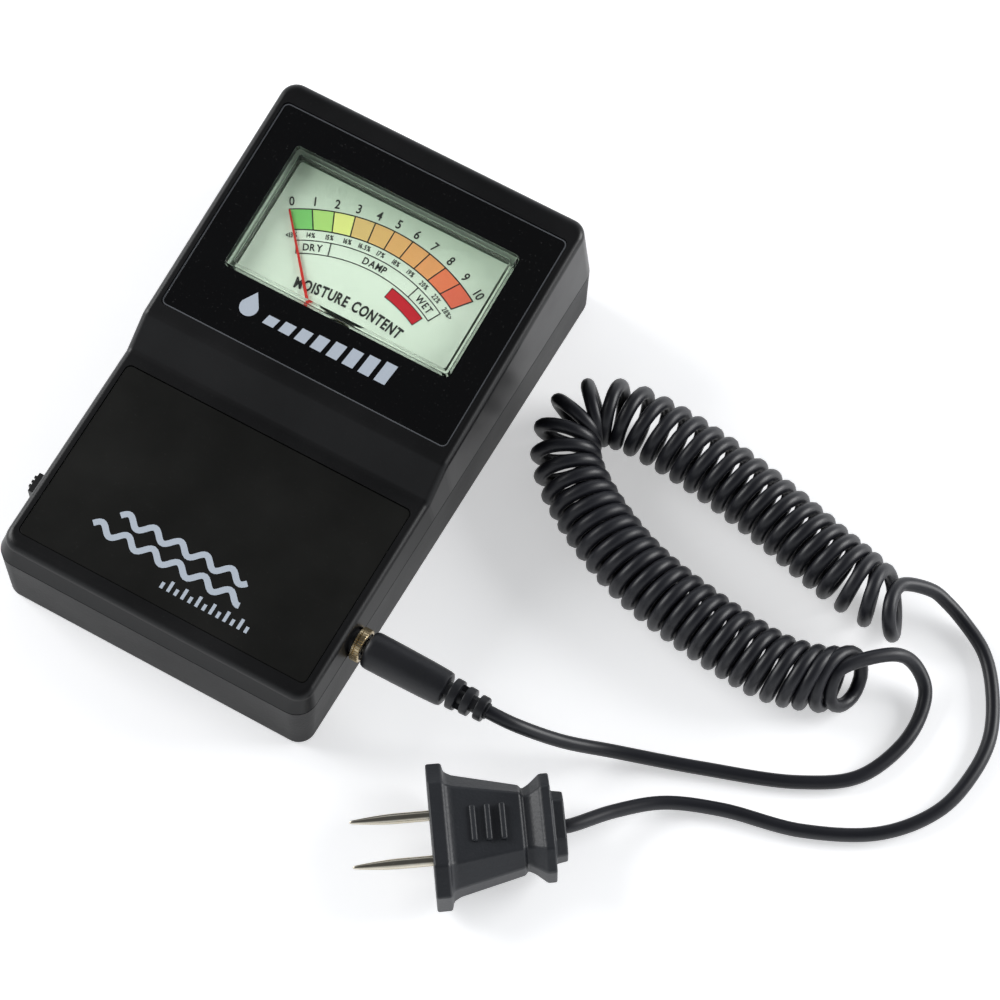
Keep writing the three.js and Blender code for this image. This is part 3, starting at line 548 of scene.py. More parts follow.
class Finish:
    """A material with its Principled shader and Object coordinates ready to use."""

    def __init__(self, name, roughness=None, metallic=0.0, specular=0.5, ior=1.5):
        self.material = bpy.data.materials.new(name)
        self.material.use_nodes = True
        self.tree = self.material.node_tree
        self.shader = self.tree.nodes["Principled BSDF"]
        self.place = add_node(self.tree, "ShaderNodeTexCoord").outputs["Object"]
        self.shader.inputs["Metallic"].default_value = metallic
        self.shader.inputs["Specular IOR Level"].default_value = specular
        self.shader.inputs["IOR"].default_value = ior
        if roughness is not None:
            self.shader.inputs["Roughness"].default_value = roughness

    def group(self, tree, **values):
        used = add_node(self.tree, "ShaderNodeGroup", {"node_tree": tree})
        self.tree.links.new(self.place, used.inputs["Vector"])
        for label, value in values.items():
            used.inputs[label.replace("_", " ")].default_value = value
        return used

    def between(self, mask, low, high):
        """A colour or a number that goes from low to high with the mask."""
        if isinstance(low, tuple) or isinstance(low, bpy.types.NodeSocket):
            mix = add_node(self.tree, "ShaderNodeMix", {"data_type": "RGBA"})
            self.tree.links.new(mask, mix.inputs[0])
            for socket, value in ((mix.inputs[6], low), (mix.inputs[7], high)):
                if isinstance(value, bpy.types.NodeSocket):
                    self.tree.links.new(value, socket)
                else:
                    socket.default_value = value
            return mix.outputs[2]
        reach = add_node(self.tree, "ShaderNodeMapRange", None, {
            "Value": mask, "To Min": low, "To Max": high})
        return reach.outputs["Result"]

    def colour(self, socket):
        self.tree.links.new(socket, self.shader.inputs["Base Color"])

    def roughness(self, socket):
        self.tree.links.new(socket, self.shader.inputs["Roughness"])

    def bump(self, height, strength, distance):
        bump = add_node(self.tree, "ShaderNodeBump", None, {
            "Height": height, "Strength": strength, "Distance": distance})
        self.tree.links.new(bump.outputs["Normal"], self.shader.inputs["Normal"])


def plastic(name, colour, roughness, grain=2500.0, bump=0.25, depth=0.00003, specular=0.5,
            dust=0.12, lift=1.5, dust_tone=(120, 120, 118), scratches=0.3):
    """Moulded plastic: grain in the surface, worn patches, faint scratches and a little dust."""
    made = Finish(name, specular=specular)
    texture = made.group(GRAIN, Scale=grain)
    marks = made.group(HANDLING, Scratches=scratches)
    specks = made.group(DUST, Amount=dust)
    low = tone(*colour)
    high = tuple(min(v * lift, 1.0) for v in low[:3]) + (1.0,)
    mottled = made.between(marks.outputs["Mask"], low, high)
    made.colour(made.between(specks.outputs["Mask"], mottled, tone(*dust_tone)))
    made.roughness(made.between(marks.outputs["Mask"], roughness - 0.04, roughness + 0.05))
    made.bump(texture.outputs["Height"], bump, depth)
    return made.material


def metal(name, colour, dark, roughness, squash=(4000.0, 150.0, 150.0), bump=0.15):
    """Bare or plated metal with tool lines and slightly dull patches."""
    made = Finish(name, metallic=1.0)
    lines = made.group(BRUSHED, Squash=squash)
    marks = made.group(HANDLING, Patch_scale=180.0)
    made.colour(made.between(marks.outputs["Mask"], tone(*colour), tone(*dark)))
    made.roughness(made.between(lines.outputs["Value"], roughness - 0.08, roughness + 0.12))
    made.bump(lines.outputs["Value"], bump, 0.00002)
    return made.material


def printed(name, colour, faded, roughness=0.5):
    """Screen-printed ink, a little uneven in its cover."""
    made = Finish(name, roughness=roughness)
    cover = made.group(GRAIN, Scale=3500.0)
    made.colour(made.between(cover.outputs["Value"], tone(*colour), tone(*faded)))
    made.bump(cover.outputs["Height"], 0.1, 0.00001)
    return made.material


def scale_ink():
    """The scale's colours, which each segment carries as its own attribute."""
    made = Finish("scale_ink", roughness=0.55)
    ink = add_node(made.tree, "ShaderNodeAttribute", {"attribute_name": "ink"})
    cover = made.group(GRAIN, Scale=3500.0)
    paper = made.between(cover.outputs["Value"], ink.outputs["Color"], tone(235, 240, 225))
    blend = add_node(made.tree, "ShaderNodeMix", {"data_type": "RGBA"})
    blend.inputs[0].default_value = 0.12
    made.tree.links.new(ink.outputs["Color"], blend.inputs[6])
    made.tree.links.new(paper, blend.inputs[7])
    made.colour(blend.outputs[2])
    made.bump(cover.outputs["Height"], 0.1, 0.00001)
    return made.material


def clear_cover():
    """Clear moulded plastic that lets the lamps through to the dial."""
    made = Finish("clear_cover", roughness=0.02, ior=1.46)
    made.shader.inputs["Base Color"].default_value = (0.93, 0.975, 0.94, 1.0)
    made.shader.inputs["Transmission Weight"].default_value = 1.0
    shadow = add_node(made.tree, "ShaderNodeLightPath")
    open_way = add_node(made.tree, "ShaderNodeBsdfTransparent", None, {
        "Color": (0.93, 0.96, 0.94, 1.0)})
    mix = add_node(made.tree, "ShaderNodeMixShader", None, {
        "Fac": shadow.outputs["Is Shadow Ray"]})
    made.tree.links.new(made.shader.outputs["BSDF"], mix.inputs[1])
    made.tree.links.new(open_way.outputs["BSDF"], mix.inputs[2])
    target = made.tree.nodes["Material Output"]
    made.tree.links.new(mix.outputs["Shader"], target.inputs["Surface"])
    return made.material


def dial_card():
    """Pale green printed card, with painted shade that darkens it towards its far edge."""
    made = Finish("dial_card", roughness=0.6)
    fibre = made.group(GRAIN, Scale=1800.0)
    place = add_node(made.tree, "ShaderNodeSeparateXYZ", None, {"Vector": made.place})
    # Painted shade: the card's colour darkens towards its far edge, as if shaded by the cover's walls.
    shade = add_node(made.tree, "ShaderNodeMapRange", None, {
        "Value": place.outputs["Y"], "From Min": 0.034, "From Max": 0.051})
    body = made.between(shade.outputs["Result"], tone(232, 242, 227), tone(192, 208, 188))
    mottled = add_node(made.tree, "ShaderNodeMix", {"data_type": "RGBA", "blend_type": "MULTIPLY"})
    mottled.inputs[0].default_value = 0.06
    made.tree.links.new(body, mottled.inputs[6])
    made.tree.links.new(fibre.outputs["Value"], mottled.inputs[7])
    made.colour(mottled.outputs[2])
    made.bump(fibre.outputs["Height"], 0.12, 0.00001)
    return made.material


CASE_TOP = plastic("case_top_plastic", (13, 13, 14), 0.34, grain=2200.0, bump=0.14, specular=0.4)
CASE_BASE = plastic("case_base_plastic", (13, 13, 14), 0.46, grain=1600.0, bump=0.4, depth=0.00005,
                    specular=0.15)
FASCIA_GLOSS = plastic("fascia_gloss", (5, 5, 6), 0.1, grain=300.0, bump=0.02, dust=0.25,
                       scratches=0.6)
LABEL_SATIN = plastic("label_satin", (15, 15, 13), 0.34, grain=3000.0, bump=0.1, specular=0.4)
# Painted highlight: a thin light grey rim round the fascia stands in for the light that the recess edge
# catches.
FASCIA_RIM_HIGHLIGHT = plastic("cut_edge", (92, 94, 98), 0.3, grain=3000.0, bump=0.1, lift=1.4)
KNOB_PLASTIC = plastic("knob_plastic", (26, 26, 27), 0.42, grain=2500.0, bump=0.3)
CORD_JACKET = plastic("cord_jacket", (19, 20, 26), 0.42, grain=1500.0, bump=0.08, dust=0.06)
PLUG_JACKET = plastic("plug_jacket", (17, 18, 22), 0.42, grain=1100.0, bump=0.45, depth=0.00005)
PROBE_PLASTIC = plastic("probe_plastic", (30, 32, 36), 0.44, grain=1500.0, bump=0.5, depth=0.00005)
# Made pale green-white so the clear cover's frame above it looks bright: painted light, seen through the
# cover's edges.
INNER_PLASTIC = plastic("inner_plastic", (206, 216, 204), 0.5, lift=1.05)
COMPONENT_RESIN = plastic("component_resin", (30, 30, 31), 0.5, grain=4000.0)
BOARD_MASK = plastic("board_mask", (30, 92, 48), 0.32, grain=900.0, lift=1.2)
RESISTOR_LACQUER = plastic("resistor_lacquer", (198, 168, 122), 0.35, lift=1.15)
TRIMMER_PLASTIC = plastic("trimmer_plastic", (42, 88, 168), 0.4, lift=1.2)
BATTERY_WRAP = plastic("battery_wrap", (72, 74, 80), 0.25, grain=600.0, bump=0.06)
FOAM_RUBBER = plastic("foam_rubber", (66, 66, 68), 0.9, grain=900.0, bump=0.9, depth=0.0002)
RED_WIRE = plastic("red_wire", (172, 28, 28), 0.4, lift=1.2)
BLACK_WIRE = plastic("black_wire", (20, 20, 20), 0.4)
NEEDLE_PAINT = printed("needle_paint", (212, 38, 28), (190, 30, 24), 0.4)
BLACK_INK = printed("black_ink", (22, 22, 20), (36, 36, 33))
RED_INK = printed("red_ink", (212, 28, 46), (190, 20, 36), 0.35)
PALE_INK = printed("pale_ink", (196, 205, 216), (182, 192, 204), 0.45)
SCALE_INK = scale_ink()
DIAL_CARD = dial_card()
CLEAR_COVER = clear_cover()
STEEL = metal("movement_steel", (165, 167, 170), (130, 132, 136), 0.32)
NICKEL = metal("plated_nickel", (214, 208, 194), (196, 188, 170), 0.15, bump=0.04)
NUT_METAL = metal("nut_metal", (226, 208, 172), (150, 132, 98), 0.22, bump=0.05)
BRASS = metal("terminal_brass", (190, 158, 92), (150, 118, 60), 0.34)
COPPER = metal("coil_copper", (196, 118, 70), (150, 84, 48), 0.4, squash=(150.0, 150.0, 5000.0))

# ---------------------------------------------------------------- case shells


def top_height(y):
    """Height of the case's top, with both bends of the slope eased over a short reach."""
    grip = tan(GRIP_TILT)
    ramp = (HEAD_EDGE[1] - SLOPE_FOOT[1]) / (HEAD_EDGE[0] - SLOPE_FOOT[0])
    head = tan(HEAD_TILT)
    for (corner_y, corner_z), before, after in ((SLOPE_FOOT, grip, ramp), (HEAD_EDGE, ramp, head)):
        past = y - corner_y
        if abs(past) < BEND_REACH:
            ease = (past + BEND_REACH) ** 2 / (4 * BEND_REACH)
            return corner_z + before * past + (after - before) * ease
    if y < SLOPE_FOOT[0]:
        return SLOPE_FOOT[1] + grip * (y - SLOPE_FOOT[0])
    if y < HEAD_EDGE[0]:
        return SLOPE_FOOT[1] + ramp * (y - SLOPE_FOOT[0])
    return HEAD_EDGE[1] + head * (y - HEAD_EDGE[0])


STATIONS = [y + BEND_REACH * k / 2 for y in (SLOPE_FOOT[0], HEAD_EDGE[0]) for k in range(-2, 3)]


def case_ring(inset_x, inset_y, height_at):
    """One level of the case, up its right side and back down its left."""
    half_width = CASE_HALF_WIDTH - inset_x
    half_length = CASE_HALF_LENGTH - inset_y
    radius = max(CORNER_RADIUS - inset_x, 1.2)
    right = []
    for start, middle in ((-90, -half_length + radius), (0, half_length - radius)):
        for k in range(CORNER_STEPS + 1):
            angle = radians(start + 90.0 * k / CORNER_STEPS)
            right.append((half_width - radius + radius * cos(angle), middle + radius * sin(angle)))
        if start == -90:
            right += [(half_width, y) for y in STATIONS]
    left = [(-x, y) for x, y in reversed(right)]
    return [(x, y, height_at(y)) for x, y in right + left]


def at_level(height):
    return lambda y: height


def below_top(drop):
    return lambda y: top_height(y) - drop


def jack_cut():
    return moved(turned_along_x([(0, 36.5), (3.6, 36.5), (3.6, 43.5), (0, 43.5)]),
                 Matrix.Translation((0, *JACK)))


def switch_cut():
    y, z = SWITCH
    return block(-43.5, -37.5, y - SWITCH_REACH, y + SWITCH_REACH, z - 2.2, z + 2.2)


def upper_shell():
    bottom = PARTING_HEIGHT + PARTING_GAP / 2
    rings = [case_ring(0, 0, at_level(bottom))]
    for k in range(8):
        turn = radians(90.0 * k / 7)
        rise = 1 - cos(turn)
        rings.append(case_ring(0.9 + 1.7 * rise, 2.0 + 2.6 * rise, below_top(1.9 * (1 - sin(turn)))))
    hollow = [case_ring(WALL, WALL, at_level(bottom - 1)),
              case_ring(WALL + 0.9, WALL + 2.4, below_top(WALL + 1.6)),
              case_ring(WALL + 2.4, WALL + 4.2, below_top(WALL))]
    posts = [moved(rod(3.6, PARTING_HEIGHT + 0.4, top_height(y) - 1.2, 20), Matrix.Translation((x, y, 0)))
             for x, y in SCREW_CORNERS]
    posts += [moved(rod(2.6, -8.6, -1.8, 20), HEAD @ Matrix.Translation((x, s, 0)))
              for x, s in METER_SCREWS]
    window = plate(WINDOW, -6, 2, 1.2, inset=-0.3)
    grip_recess = (LABEL[0], LABEL[1], 0.0, (LABEL[3] - LABEL[2]) / cos(GRIP_TILT))
    cuts = [moved(plate(FASCIA, -1.2, 4, 1.5), HEAD), moved(plate(grip_recess, -0.8, 3, 1.5), GRIP),
            moved(window, HEAD), jack_cut(), switch_cut(),
            block(-27.75, 21.75, -61.75, -34.25, PARTING_HEIGHT - 2, 21.2)]
    cuts += [moved(rod(1.6, PARTING_HEIGHT - 1, min(top_height(y) - 2.4, 27.0), 16),
                   Matrix.Translation((x, y, 0))) for x, y in SCREW_CORNERS]
    cuts += [moved(rod(1.2, -9.6, -3.4, 12), HEAD @ Matrix.Translation((x, s, 0)))
             for x, s in METER_SCREWS]
    shell = carved(ladder_skin(rings), cut=[ladder_skin(hollow)])
    shell = carved(shell, added=posts, cut=cuts)
    piece("upper_case_shell", softened(shell, 0.2), CASE_TOP,
          replaces=["upper_case"])


def lower_shell():
    top = PARTING_HEIGHT - PARTING_GAP / 2
    rings = []
    for k in range(6):
        turn = radians(90.0 * k / 5)
        shrink = 1 - sin(turn)
        rings.append(case_ring(BASE_DRAFT + 1.2 * shrink, 0.1 + 1.1 * shrink,
                               at_level(1.2 * (1 - cos(turn)))))
    rings.append(case_ring(0, 0, at_level(top)))
    hollow = [case_ring(WALL + BASE_DRAFT, WALL, at_level(FLOOR)),
              case_ring(WALL, WALL, at_level(PARTING_HEIGHT + 1))]
    board_posts = [(-26, -22), (26, -22), (26, 16), (-26, 16)]
    added = [moved(rod(4.0, 1.0, PARTING_HEIGHT - 0.4, 20), Matrix.Translation((x, y, 0)))
             for x, y in SCREW_CORNERS]
    added += [moved(rod(2.6, 1.0, 5.7, 16), Matrix.Translation((x, y, 0))) for x, y in board_posts]
    added += [block(-31, 31, -30.6, -29.1, 1, 14), block(-31, -29.6, -61, -30, 1, 11),
              block(29.6, 31, -61, -52, 1, 11)]
    cuts = [jack_cut(), switch_cut(), plate(BATTERY_DOOR, -1, FLOOR + 0.2, 1.2, inset=-0.3)]
    for x, y in SCREW_CORNERS:
        cuts.append(moved(rod(3.2, -1, 4, 28), Matrix.Translation((x, y, 0))))
        cuts.append(moved(rod(1.7, 3, PARTING_HEIGHT + 1, 16), Matrix.Translation((x, y, 0))))
    cuts += [moved(rod(1.3, 2.6, 8, 12), Matrix.Translation((x, y, 0))) for x, y in board_posts]
    shell = carved(ladder_skin(rings), cut=[ladder_skin(hollow)])
    shell = carved(shell, added=added, cut=cuts)
    piece("lower_case_shell", softened(shell, 0.2), CASE_BASE,
          replaces=["lower_case"])


def battery_cover():
    near, far = BATTERY_DOOR[2] - 0.3, BATTERY_DOOR[3] + 0.3
    added = []
    for x in (-16, 16):
        added.append(block(x - 4, x + 4, far - 2, far - 0.7, 1.6, 3.0))
        added.append(block(x - 4, x + 4, far - 2, far + 1.8, 2.5, 3.0))
    added.append(block(-5, 5, near + 0.9, near + 2.2, 1.6, 3.0))
    groove = plate((-8, 8, -0.45, 0.45), -0.7, 0.8, 0.4)
    grooves = repeated(IN_A_ROW, groove, CASE_BASE, Count=5, Start=(0.0, near + 6.0, 0.0),
                       Step=(0.0, 1.8, 0.0))
    cover = carved(plate(BATTERY_DOOR, 0.3, 2.1, 1.0), added=added, cut=[grooves])
    piece("battery_cover", softened(cover, 0.15), CASE_BASE, body="door",
          replaces=["battery_door"])


def case_screws():
    head = turned([(0, 1.2), (2.3, 1.2), (2.6, 1.45), (2.75, 1.9), (2.75, 3.5), (1.35, 3.6),
                   (1.35, 20.0), (0, 20.8)], 24)
    cross = [block(-1.7, 1.7, -0.35, 0.35, 0.5, 2.2), block(-0.35, 0.35, -1.7, 1.7, 0.5, 2.2)]
    screw = carved(head, cut=cross)
    places = [(x, y, 0.0) for x, y in SCREW_CORNERS]
    screws = repeated(AT_EACH_PLACE, screw, STEEL, places=places)
    piece("case_screws", screws, STEEL,
          replaces=["case_screw_1", "case_screw_2", "case_screw_3", "case_screw_4"])


# ---------------------------------------------------------------- head and grip panels


def fascia():
    # The rim is a painted highlight along the fascia's edge, in light grey.
    rim = carved(plate(FASCIA, -0.9, -0.36, 1.4, inset=0.2), cut=[plate(FASCIA, -2, 1, 1.2, inset=0.48)])
    piece("fascia_rim", moved(rim, HEAD), FASCIA_RIM_HIGHLIGHT, smooth=30)
    panel = carved(plate(FASCIA, -0.9, -0.4, 1.1, inset=0.5), cut=[plate(WINDOW, -3, 3, 1.2, inset=-0.3)])
    piece("fascia", moved(softened(panel, 0.1, steps=2), HEAD), FASCIA_GLOSS,
          replaces=["fascia_panel"])


def drop_outline(x, s, width, height):
    """A water drop: a round foot drawn up to a point."""
    points = []
    for k in range(28):
        angle = radians(-200.0 + 220.0 * k / 27)
        points.append((x + width / 2 * cos(angle), s + width / 2 * sin(angle)))
    points.append((x, s + height - width / 2))
    return points


def fascia_mark():
    """A drop and a rising row of slanted bars, printed below the window."""
    marks = [prism(drop_outline(-19.2, 12.2, 4.6, 6.4), *FASCIA_PRINT)]
    for k in range(8):
        x = -14.6 + 4.25 * k
        rise = 2.4 + 0.42 * k
        bar = [(x, 10.3), (x + 2.9, 10.3), (x + 3.5, 10.3 + rise), (x + 0.6, 10.3 + rise)]
        marks.append(prism(bar, *FASCIA_PRINT))
    piece("fascia_mark", moved(joined(marks), HEAD), PALE_INK, smooth=0)


def wave(x0, x1, middle, swing, length, steps=72):
    return [(x0 + (x1 - x0) * k / steps,
             middle + swing * sin(2 * pi * (x1 - x0) * k / steps / length)) for k in range(steps + 1)]


def grip_label():
    length = (LABEL[3] - LABEL[2]) / cos(GRIP_TILT)
    panel = plate((LABEL[0], LABEL[1], 0.0, length), -0.5, -0.2, 1.4, inset=0.2)
    piece("grip_label", moved(softened(panel, 0.08, steps=2), GRIP), LABEL_SATIN,
          replaces=["label_plate"])
    marks = [stroke(wave(-19.5, 14.3, 14.9, 1.2, 6.8), 1.5, *LABEL_PRINT),
             stroke(wave(-24.0, 15.5, 10.3, 1.2, 6.8), 1.5, *LABEL_PRINT)]
    for k in range(13):
        x = -2.7 + 1.85 * k
        marks.append(block(x, x + 0.8, 4.2, 6.9 if k % 2 else 5.8, *LABEL_PRINT))
    piece("grip_mark", moved(joined(marks), GRIP), PALE_INK, smooth=0)


# ---------------------------------------------------------------- dial


def cover():
    glass = softened(plate(WINDOW, -4, COVER_TOP, 0.9), 0.3, steps=2, angle=60)
    flange = plate((-31.5, 31.5, 1.2, 54.5), -4, -2.8, 1.0)
    recess = plate(WINDOW, -5, -0.9, 0.7, inset=WINDOW_FRAME)
    glass = carved(glass, added=[flange], cut=[recess])
    piece("window_cover", moved(glass, HEAD), CLEAR_COVER,
          replaces=["meter_cover"], smooth=30)


ARC_CENTRE = Vector((0.0, -3.2))
SCALE_OUTER = 48.9
SCALE_INNER = 43.7
FIRST_SWING = -40.7
SWING_STEP = 8.14
ZONE_ARCS = (41.0, 37.7)
PATCH_ARCS = (34.1, 36.9)
PATCH_ENDS = (10.3, 26.5)


def on_arc(swing, radius):
    """The point where a needle swung by that many degrees crosses an arc of the scale."""
    along = Vector((sin(radians(swing)), cos(radians(swing))))
    offset = PIVOT - ARC_CENTRE
    reach = offset.dot(along)
    return PIVOT + along * (sqrt(reach ** 2 - offset.dot(offset) + radius ** 2) - reach)


def letters(text, size, bold=0.0):
    curve = bpy.data.curves.new("letters", "FONT")
    curve.body = text
    curve.size = size
    curve.offset = bold
    curve.extrude = 0.02
    curve.resolution_u = 3
    holder = in_scene("letters", curve)
    mesh = as_plain_mesh(holder)
    bpy.data.objects.remove(holder)
    bpy.data.curves.remove(curve)
    return mesh


def arc_letters(text, centre, radius, middle, size, narrow=1.0, space=0.16, bold=0.0):
    """Letters set one by one round an arc, each turned with it. middle is in degrees."""
    glyphs = []
    widths = []
    for mark in text:
        if mark == " ":
            glyphs.append(None)
            widths.append(size * 0.28 * narrow)
            continue
        mesh = letters(mark, size, bold)
        mesh.transform(Matrix.Diagonal((narrow, 1.0, 1.0, 1.0)))
        left = min(v.co.x for v in mesh.vertices)
        right = max(v.co.x for v in mesh.vertices)
        mesh.transform(Matrix.Translation((-(left + right) / 2, 0, 0)))
        glyphs.append(mesh)
        widths.append(right - left)
    gap = size * space * narrow
    length = sum(widths) + gap * (len(text) - 1)
    out = []
    along = -length / 2
    for mesh, width in zip(glyphs, widths):
        angle = radians(middle) + (along + width / 2) / radius
        along += width + gap
        if mesh is None:
            continue
        x = centre[0] + radius * sin(angle)
        y = centre[1] + radius * cos(angle)
        spot = Matrix.Translation((x, y, DIAL_LEVEL + 0.05)) @ Matrix.Rotation(-angle, 4, "Z")
        out.append(moved(mesh, spot @ Matrix.Translation((0, -size * 0.34, 0))))
    return out


SEGMENT_TONES = [(118, 205, 100), (176, 222, 112), (232, 236, 130), (226, 186, 108),
                 (228, 176, 98), (230, 168, 92), (232, 160, 86), (234, 150, 80), (238, 108, 56),
                 (236, 88, 52)]


def scale_segments():
    meshes = []
    for i in range(10):
        swings = [FIRST_SWING + SWING_STEP * (i + k / 6) for k in range(7)]
        outline = [tuple(on_arc(a, SCALE_OUTER)) for a in reversed(swings)]
        outline += [tuple(on_arc(a, SCALE_INNER)) for a in swings]
        meshes.append(prism(outline, DIAL_LEVEL + 0.01, DIAL_LEVEL + 0.04))
    tones = [tone(*shade) for shade, mesh in zip(SEGMENT_TONES, meshes) for _ in mesh.polygons]
    band = joined(meshes)
    ink = band.color_attributes.new("ink", "FLOAT_COLOR", "CORNER")
    for face in band.polygons:
        for corner in face.loop_indices:
            ink.data[corner].color = tones[face.index]
    piece("scale_segments", moved(band, HEAD), SCALE_INK, smooth=0)


def scale_lines():
    low, high = DIAL_LEVEL + 0.02, DIAL_LEVEL + 0.06
    lines = []
    for radius in (SCALE_OUTER, SCALE_INNER):
        swings = [FIRST_SWING + SWING_STEP * 10 * k / 60 for k in range(61)]
        lines.append(stroke([tuple(on_arc(a, radius)) for a in swings], 0.3, low, high))
    for i in range(11):
        swing = FIRST_SWING + SWING_STEP * i
        ends = [tuple(on_arc(swing, r)) for r in (SCALE_INNER - 0.1, SCALE_OUTER + 0.1)]
        lines.append(stroke(ends, 0.3, low, high + 0.005))
    for radius in ZONE_ARCS:
        lines.append(arc_strip(radius - 0.12, radius + 0.12, -28.0, 28.5, low, high,
                               tuple(ARC_CENTRE), 40))
    for angle in (-28.0, -16.5, 16.8, 28.5):
        half = degrees(0.13 / 39.0)
        lines.append(arc_strip(37.6, 41.1, angle - half, angle + half, low, high + 0.005,
                               tuple(ARC_CENTRE), 1))
    piece("scale_lines", moved(joined(lines), HEAD), BLACK_INK, smooth=0)


def scale_lettering():
    centre = tuple(ARC_CENTRE)
    marks = []
    values = ["<13%", "14%", "15%", "16%", "16.5%", "17%", "18%", "19%", "20%", "22%", "28%>"]
    for i in range(11):
        spot = on_arc(FIRST_SWING + SWING_STEP * i, 46.0) - ARC_CENTRE
        angle = degrees(atan2(spot.x, spot.y))
        marks += arc_letters(str(i), centre, 50.9, angle, 3.2, narrow=0.85, bold=0.045)
        marks += arc_letters(values[i], centre, 42.35, angle, 1.75, narrow=0.72, space=0.12, bold=0.035)
    for word, angle in (("DRY", -22.3), ("DAMP", 0.2), ("WET", 22.6)):
        marks += arc_letters(word, centre, 39.3, angle, 2.5, narrow=0.85, space=0.12, bold=0.045)
    marks += arc_letters("MOISTURE CONTENT", (0.0, -54.9), 80.0, 0.0, 3.75, narrow=0.7, space=0.1,
                         bold=0.12)
    piece("scale_lettering", moved(joined(marks), HEAD), BLACK_INK, smooth=0)


def battery_patch():
    centre = tuple(ARC_CENTRE)
    patch = arc_strip(*PATCH_ARCS, *PATCH_ENDS, DIAL_LEVEL + 0.01, DIAL_LEVEL + 0.05, centre, 16)
    piece("battery_patch", moved(patch, HEAD), RED_INK, smooth=0)
    rims = [arc_strip(r - 0.1, r + 0.1, 10.2, 26.6, DIAL_LEVEL + 0.02, DIAL_LEVEL + 0.065, centre, 16)
            for r in PATCH_ARCS]
    rims += [arc_strip(*PATCH_ARCS, a - 0.15, a + 0.15, DIAL_LEVEL + 0.02, DIAL_LEVEL + 0.07, centre, 1)
             for a in PATCH_ENDS]
    piece("battery_patch_rim", moved(joined(rims), HEAD), BLACK_INK, smooth=0)


# ---------------------------------------------------------------- jack nut, switch and plug


def knurled_nut():
    at_jack = Matrix.Translation((0, *JACK))
    ring = turned_along_x([(0, 41.8), (3.7, 41.8), (3.9, 42.0), (3.9, 42.4), (3.6, 42.5), (3.6, 42.7),
                           (3.9, 42.8), (3.9, 43.8), (3.6, 44.1), (0, 44.1)], 56)
    ring = carved(ring, cut=[turned_along_x([(0, 41), (3.3, 41), (3.3, 45), (0, 45)])])
    ridge = mesh_from(
        [(41.9, -0.2, 3.7), (41.9, 0.2, 3.7), (41.95, 0, 4.1), (43.95, -0.2, 3.7), (43.95, 0.2, 3.7),
         (43.9, 0, 4.1)],
        [(0, 1, 2), (3, 5, 4), (0, 3, 4, 1), (1, 4, 5, 2), (2, 5, 3, 0)])
    ridges = repeated(ROUND_AN_AXIS, ridge, NUT_METAL, Count=36, Axis=(1.0, 0.0, 0.0),
                      Step=radians(10.0))
    nut = joined([ring, ridges])
    piece("knurled_nut", moved(nut, at_jack), NUT_METAL, replaces=["jack_nut"])


def switch_slide():
    at_switch = Matrix.Translation((0, *SWITCH))
    cap = block(-42.7, -39.1, -2.6, 2.6, -1.8, 1.8)
    stem = block(-39.5, -34.6, -1.2, 1.2, -0.8, 0.8)
    rib = block(-43.2, -42.5, -0.35, 0.35, -1.8, 1.8)
    ribs = repeated(IN_A_ROW, rib, KNOB_PLASTIC, Count=3, Start=(0.0, -1.2, 0.0), Step=(0.0, 1.2, 0.0))
    knob = softened(carved(cap, added=[stem, ribs]), 0.12, steps=2)
    piece("switch_slide", moved(knob, at_switch), KNOB_PLASTIC, body="switch",
          replaces=["switch_knob"])


def lead_plug():
    at_jack = Matrix.Translation((0, *JACK))
    profile = [(0, 44.7), (2.1, 44.7), (3.5, 44.7), (4.1, 44.95), (4.42, 45.5), (4.5, 46.3),
               (4.48, 52), (4.36, 60), (4.2, 64.2), (4.0, 64.9), (3.5, 65.2), (2.2, 65.25)]
    for k in range(3):
        start = 66.3 + 3.4 * k
        rim = 3.7 - 0.35 * k
        profile += [(1.9, start), (rim - 0.35, start + 0.02), (rim - 0.1, start + 0.12),
                    (rim, start + 0.4), (rim - 0.04, start + 1.75), (rim - 0.14, start + 2.0),
                    (rim - 0.4, start + 2.1), (1.9, start + 2.12)]
    profile += [(1.95, 75.7), (1.7, 75.9), (0, 75.9)]
    plug = carved(turned_along_x(profile, 40),
                  cut=[turned_along_x([(0, 43), (2.1, 43), (2.1, 48.7), (0, 48.7)])])
    webs = []
    for k in range(3):
        strip = moved(block(64.9, 66.6, -1.1, 1.1, 1.4, 3.2 - 0.3 * k), Matrix.Translation((3.4 * k, 0, 0)))
        turned_by = Matrix.Rotation(radians(20.0 + 90.0 * (k % 2)), 4, "X")
        webs.append(moved(repeated(ROUND_AN_AXIS, strip, PLUG_JACKET, Count=2, Axis=(1.0, 0.0, 0.0),
                                   Step=pi), turned_by))
    plug = joined([plug, *webs])
    piece("lead_plug", moved(plug, at_jack), PLUG_JACKET, body="test_lead",
          replaces=["plug_body"])


# ---------------------------------------------------------------- probe

PROBE_SECTIONS = [
    (0, 16, 9.9, 8.7, 4.6), (3.4, 16, 9.9, 8.7, 4.6), (4, 14.2, 9.4, 7.9, 3.6),
    (5.6, 13.5, 9, 7.3, 3.0), (20.4, 9.9, 6.6, 6.2, 2.6), (20.9, 9, 6, 5.2, 2.4),
    (22.6, 10, 6.2, 5.4, 2.4), (24.4, 11.4, 7, 6.4, 3.0), (25, 11.9, 7.4, 7, 3.4),
    (27.2, 11.9, 7.4, 7, 3.4), (27.3, 8, 4.8, 4.8, 2.4), (30, 7.6, 4.6, 4.6, 2.2)]
PIN_SIDE = 5.35


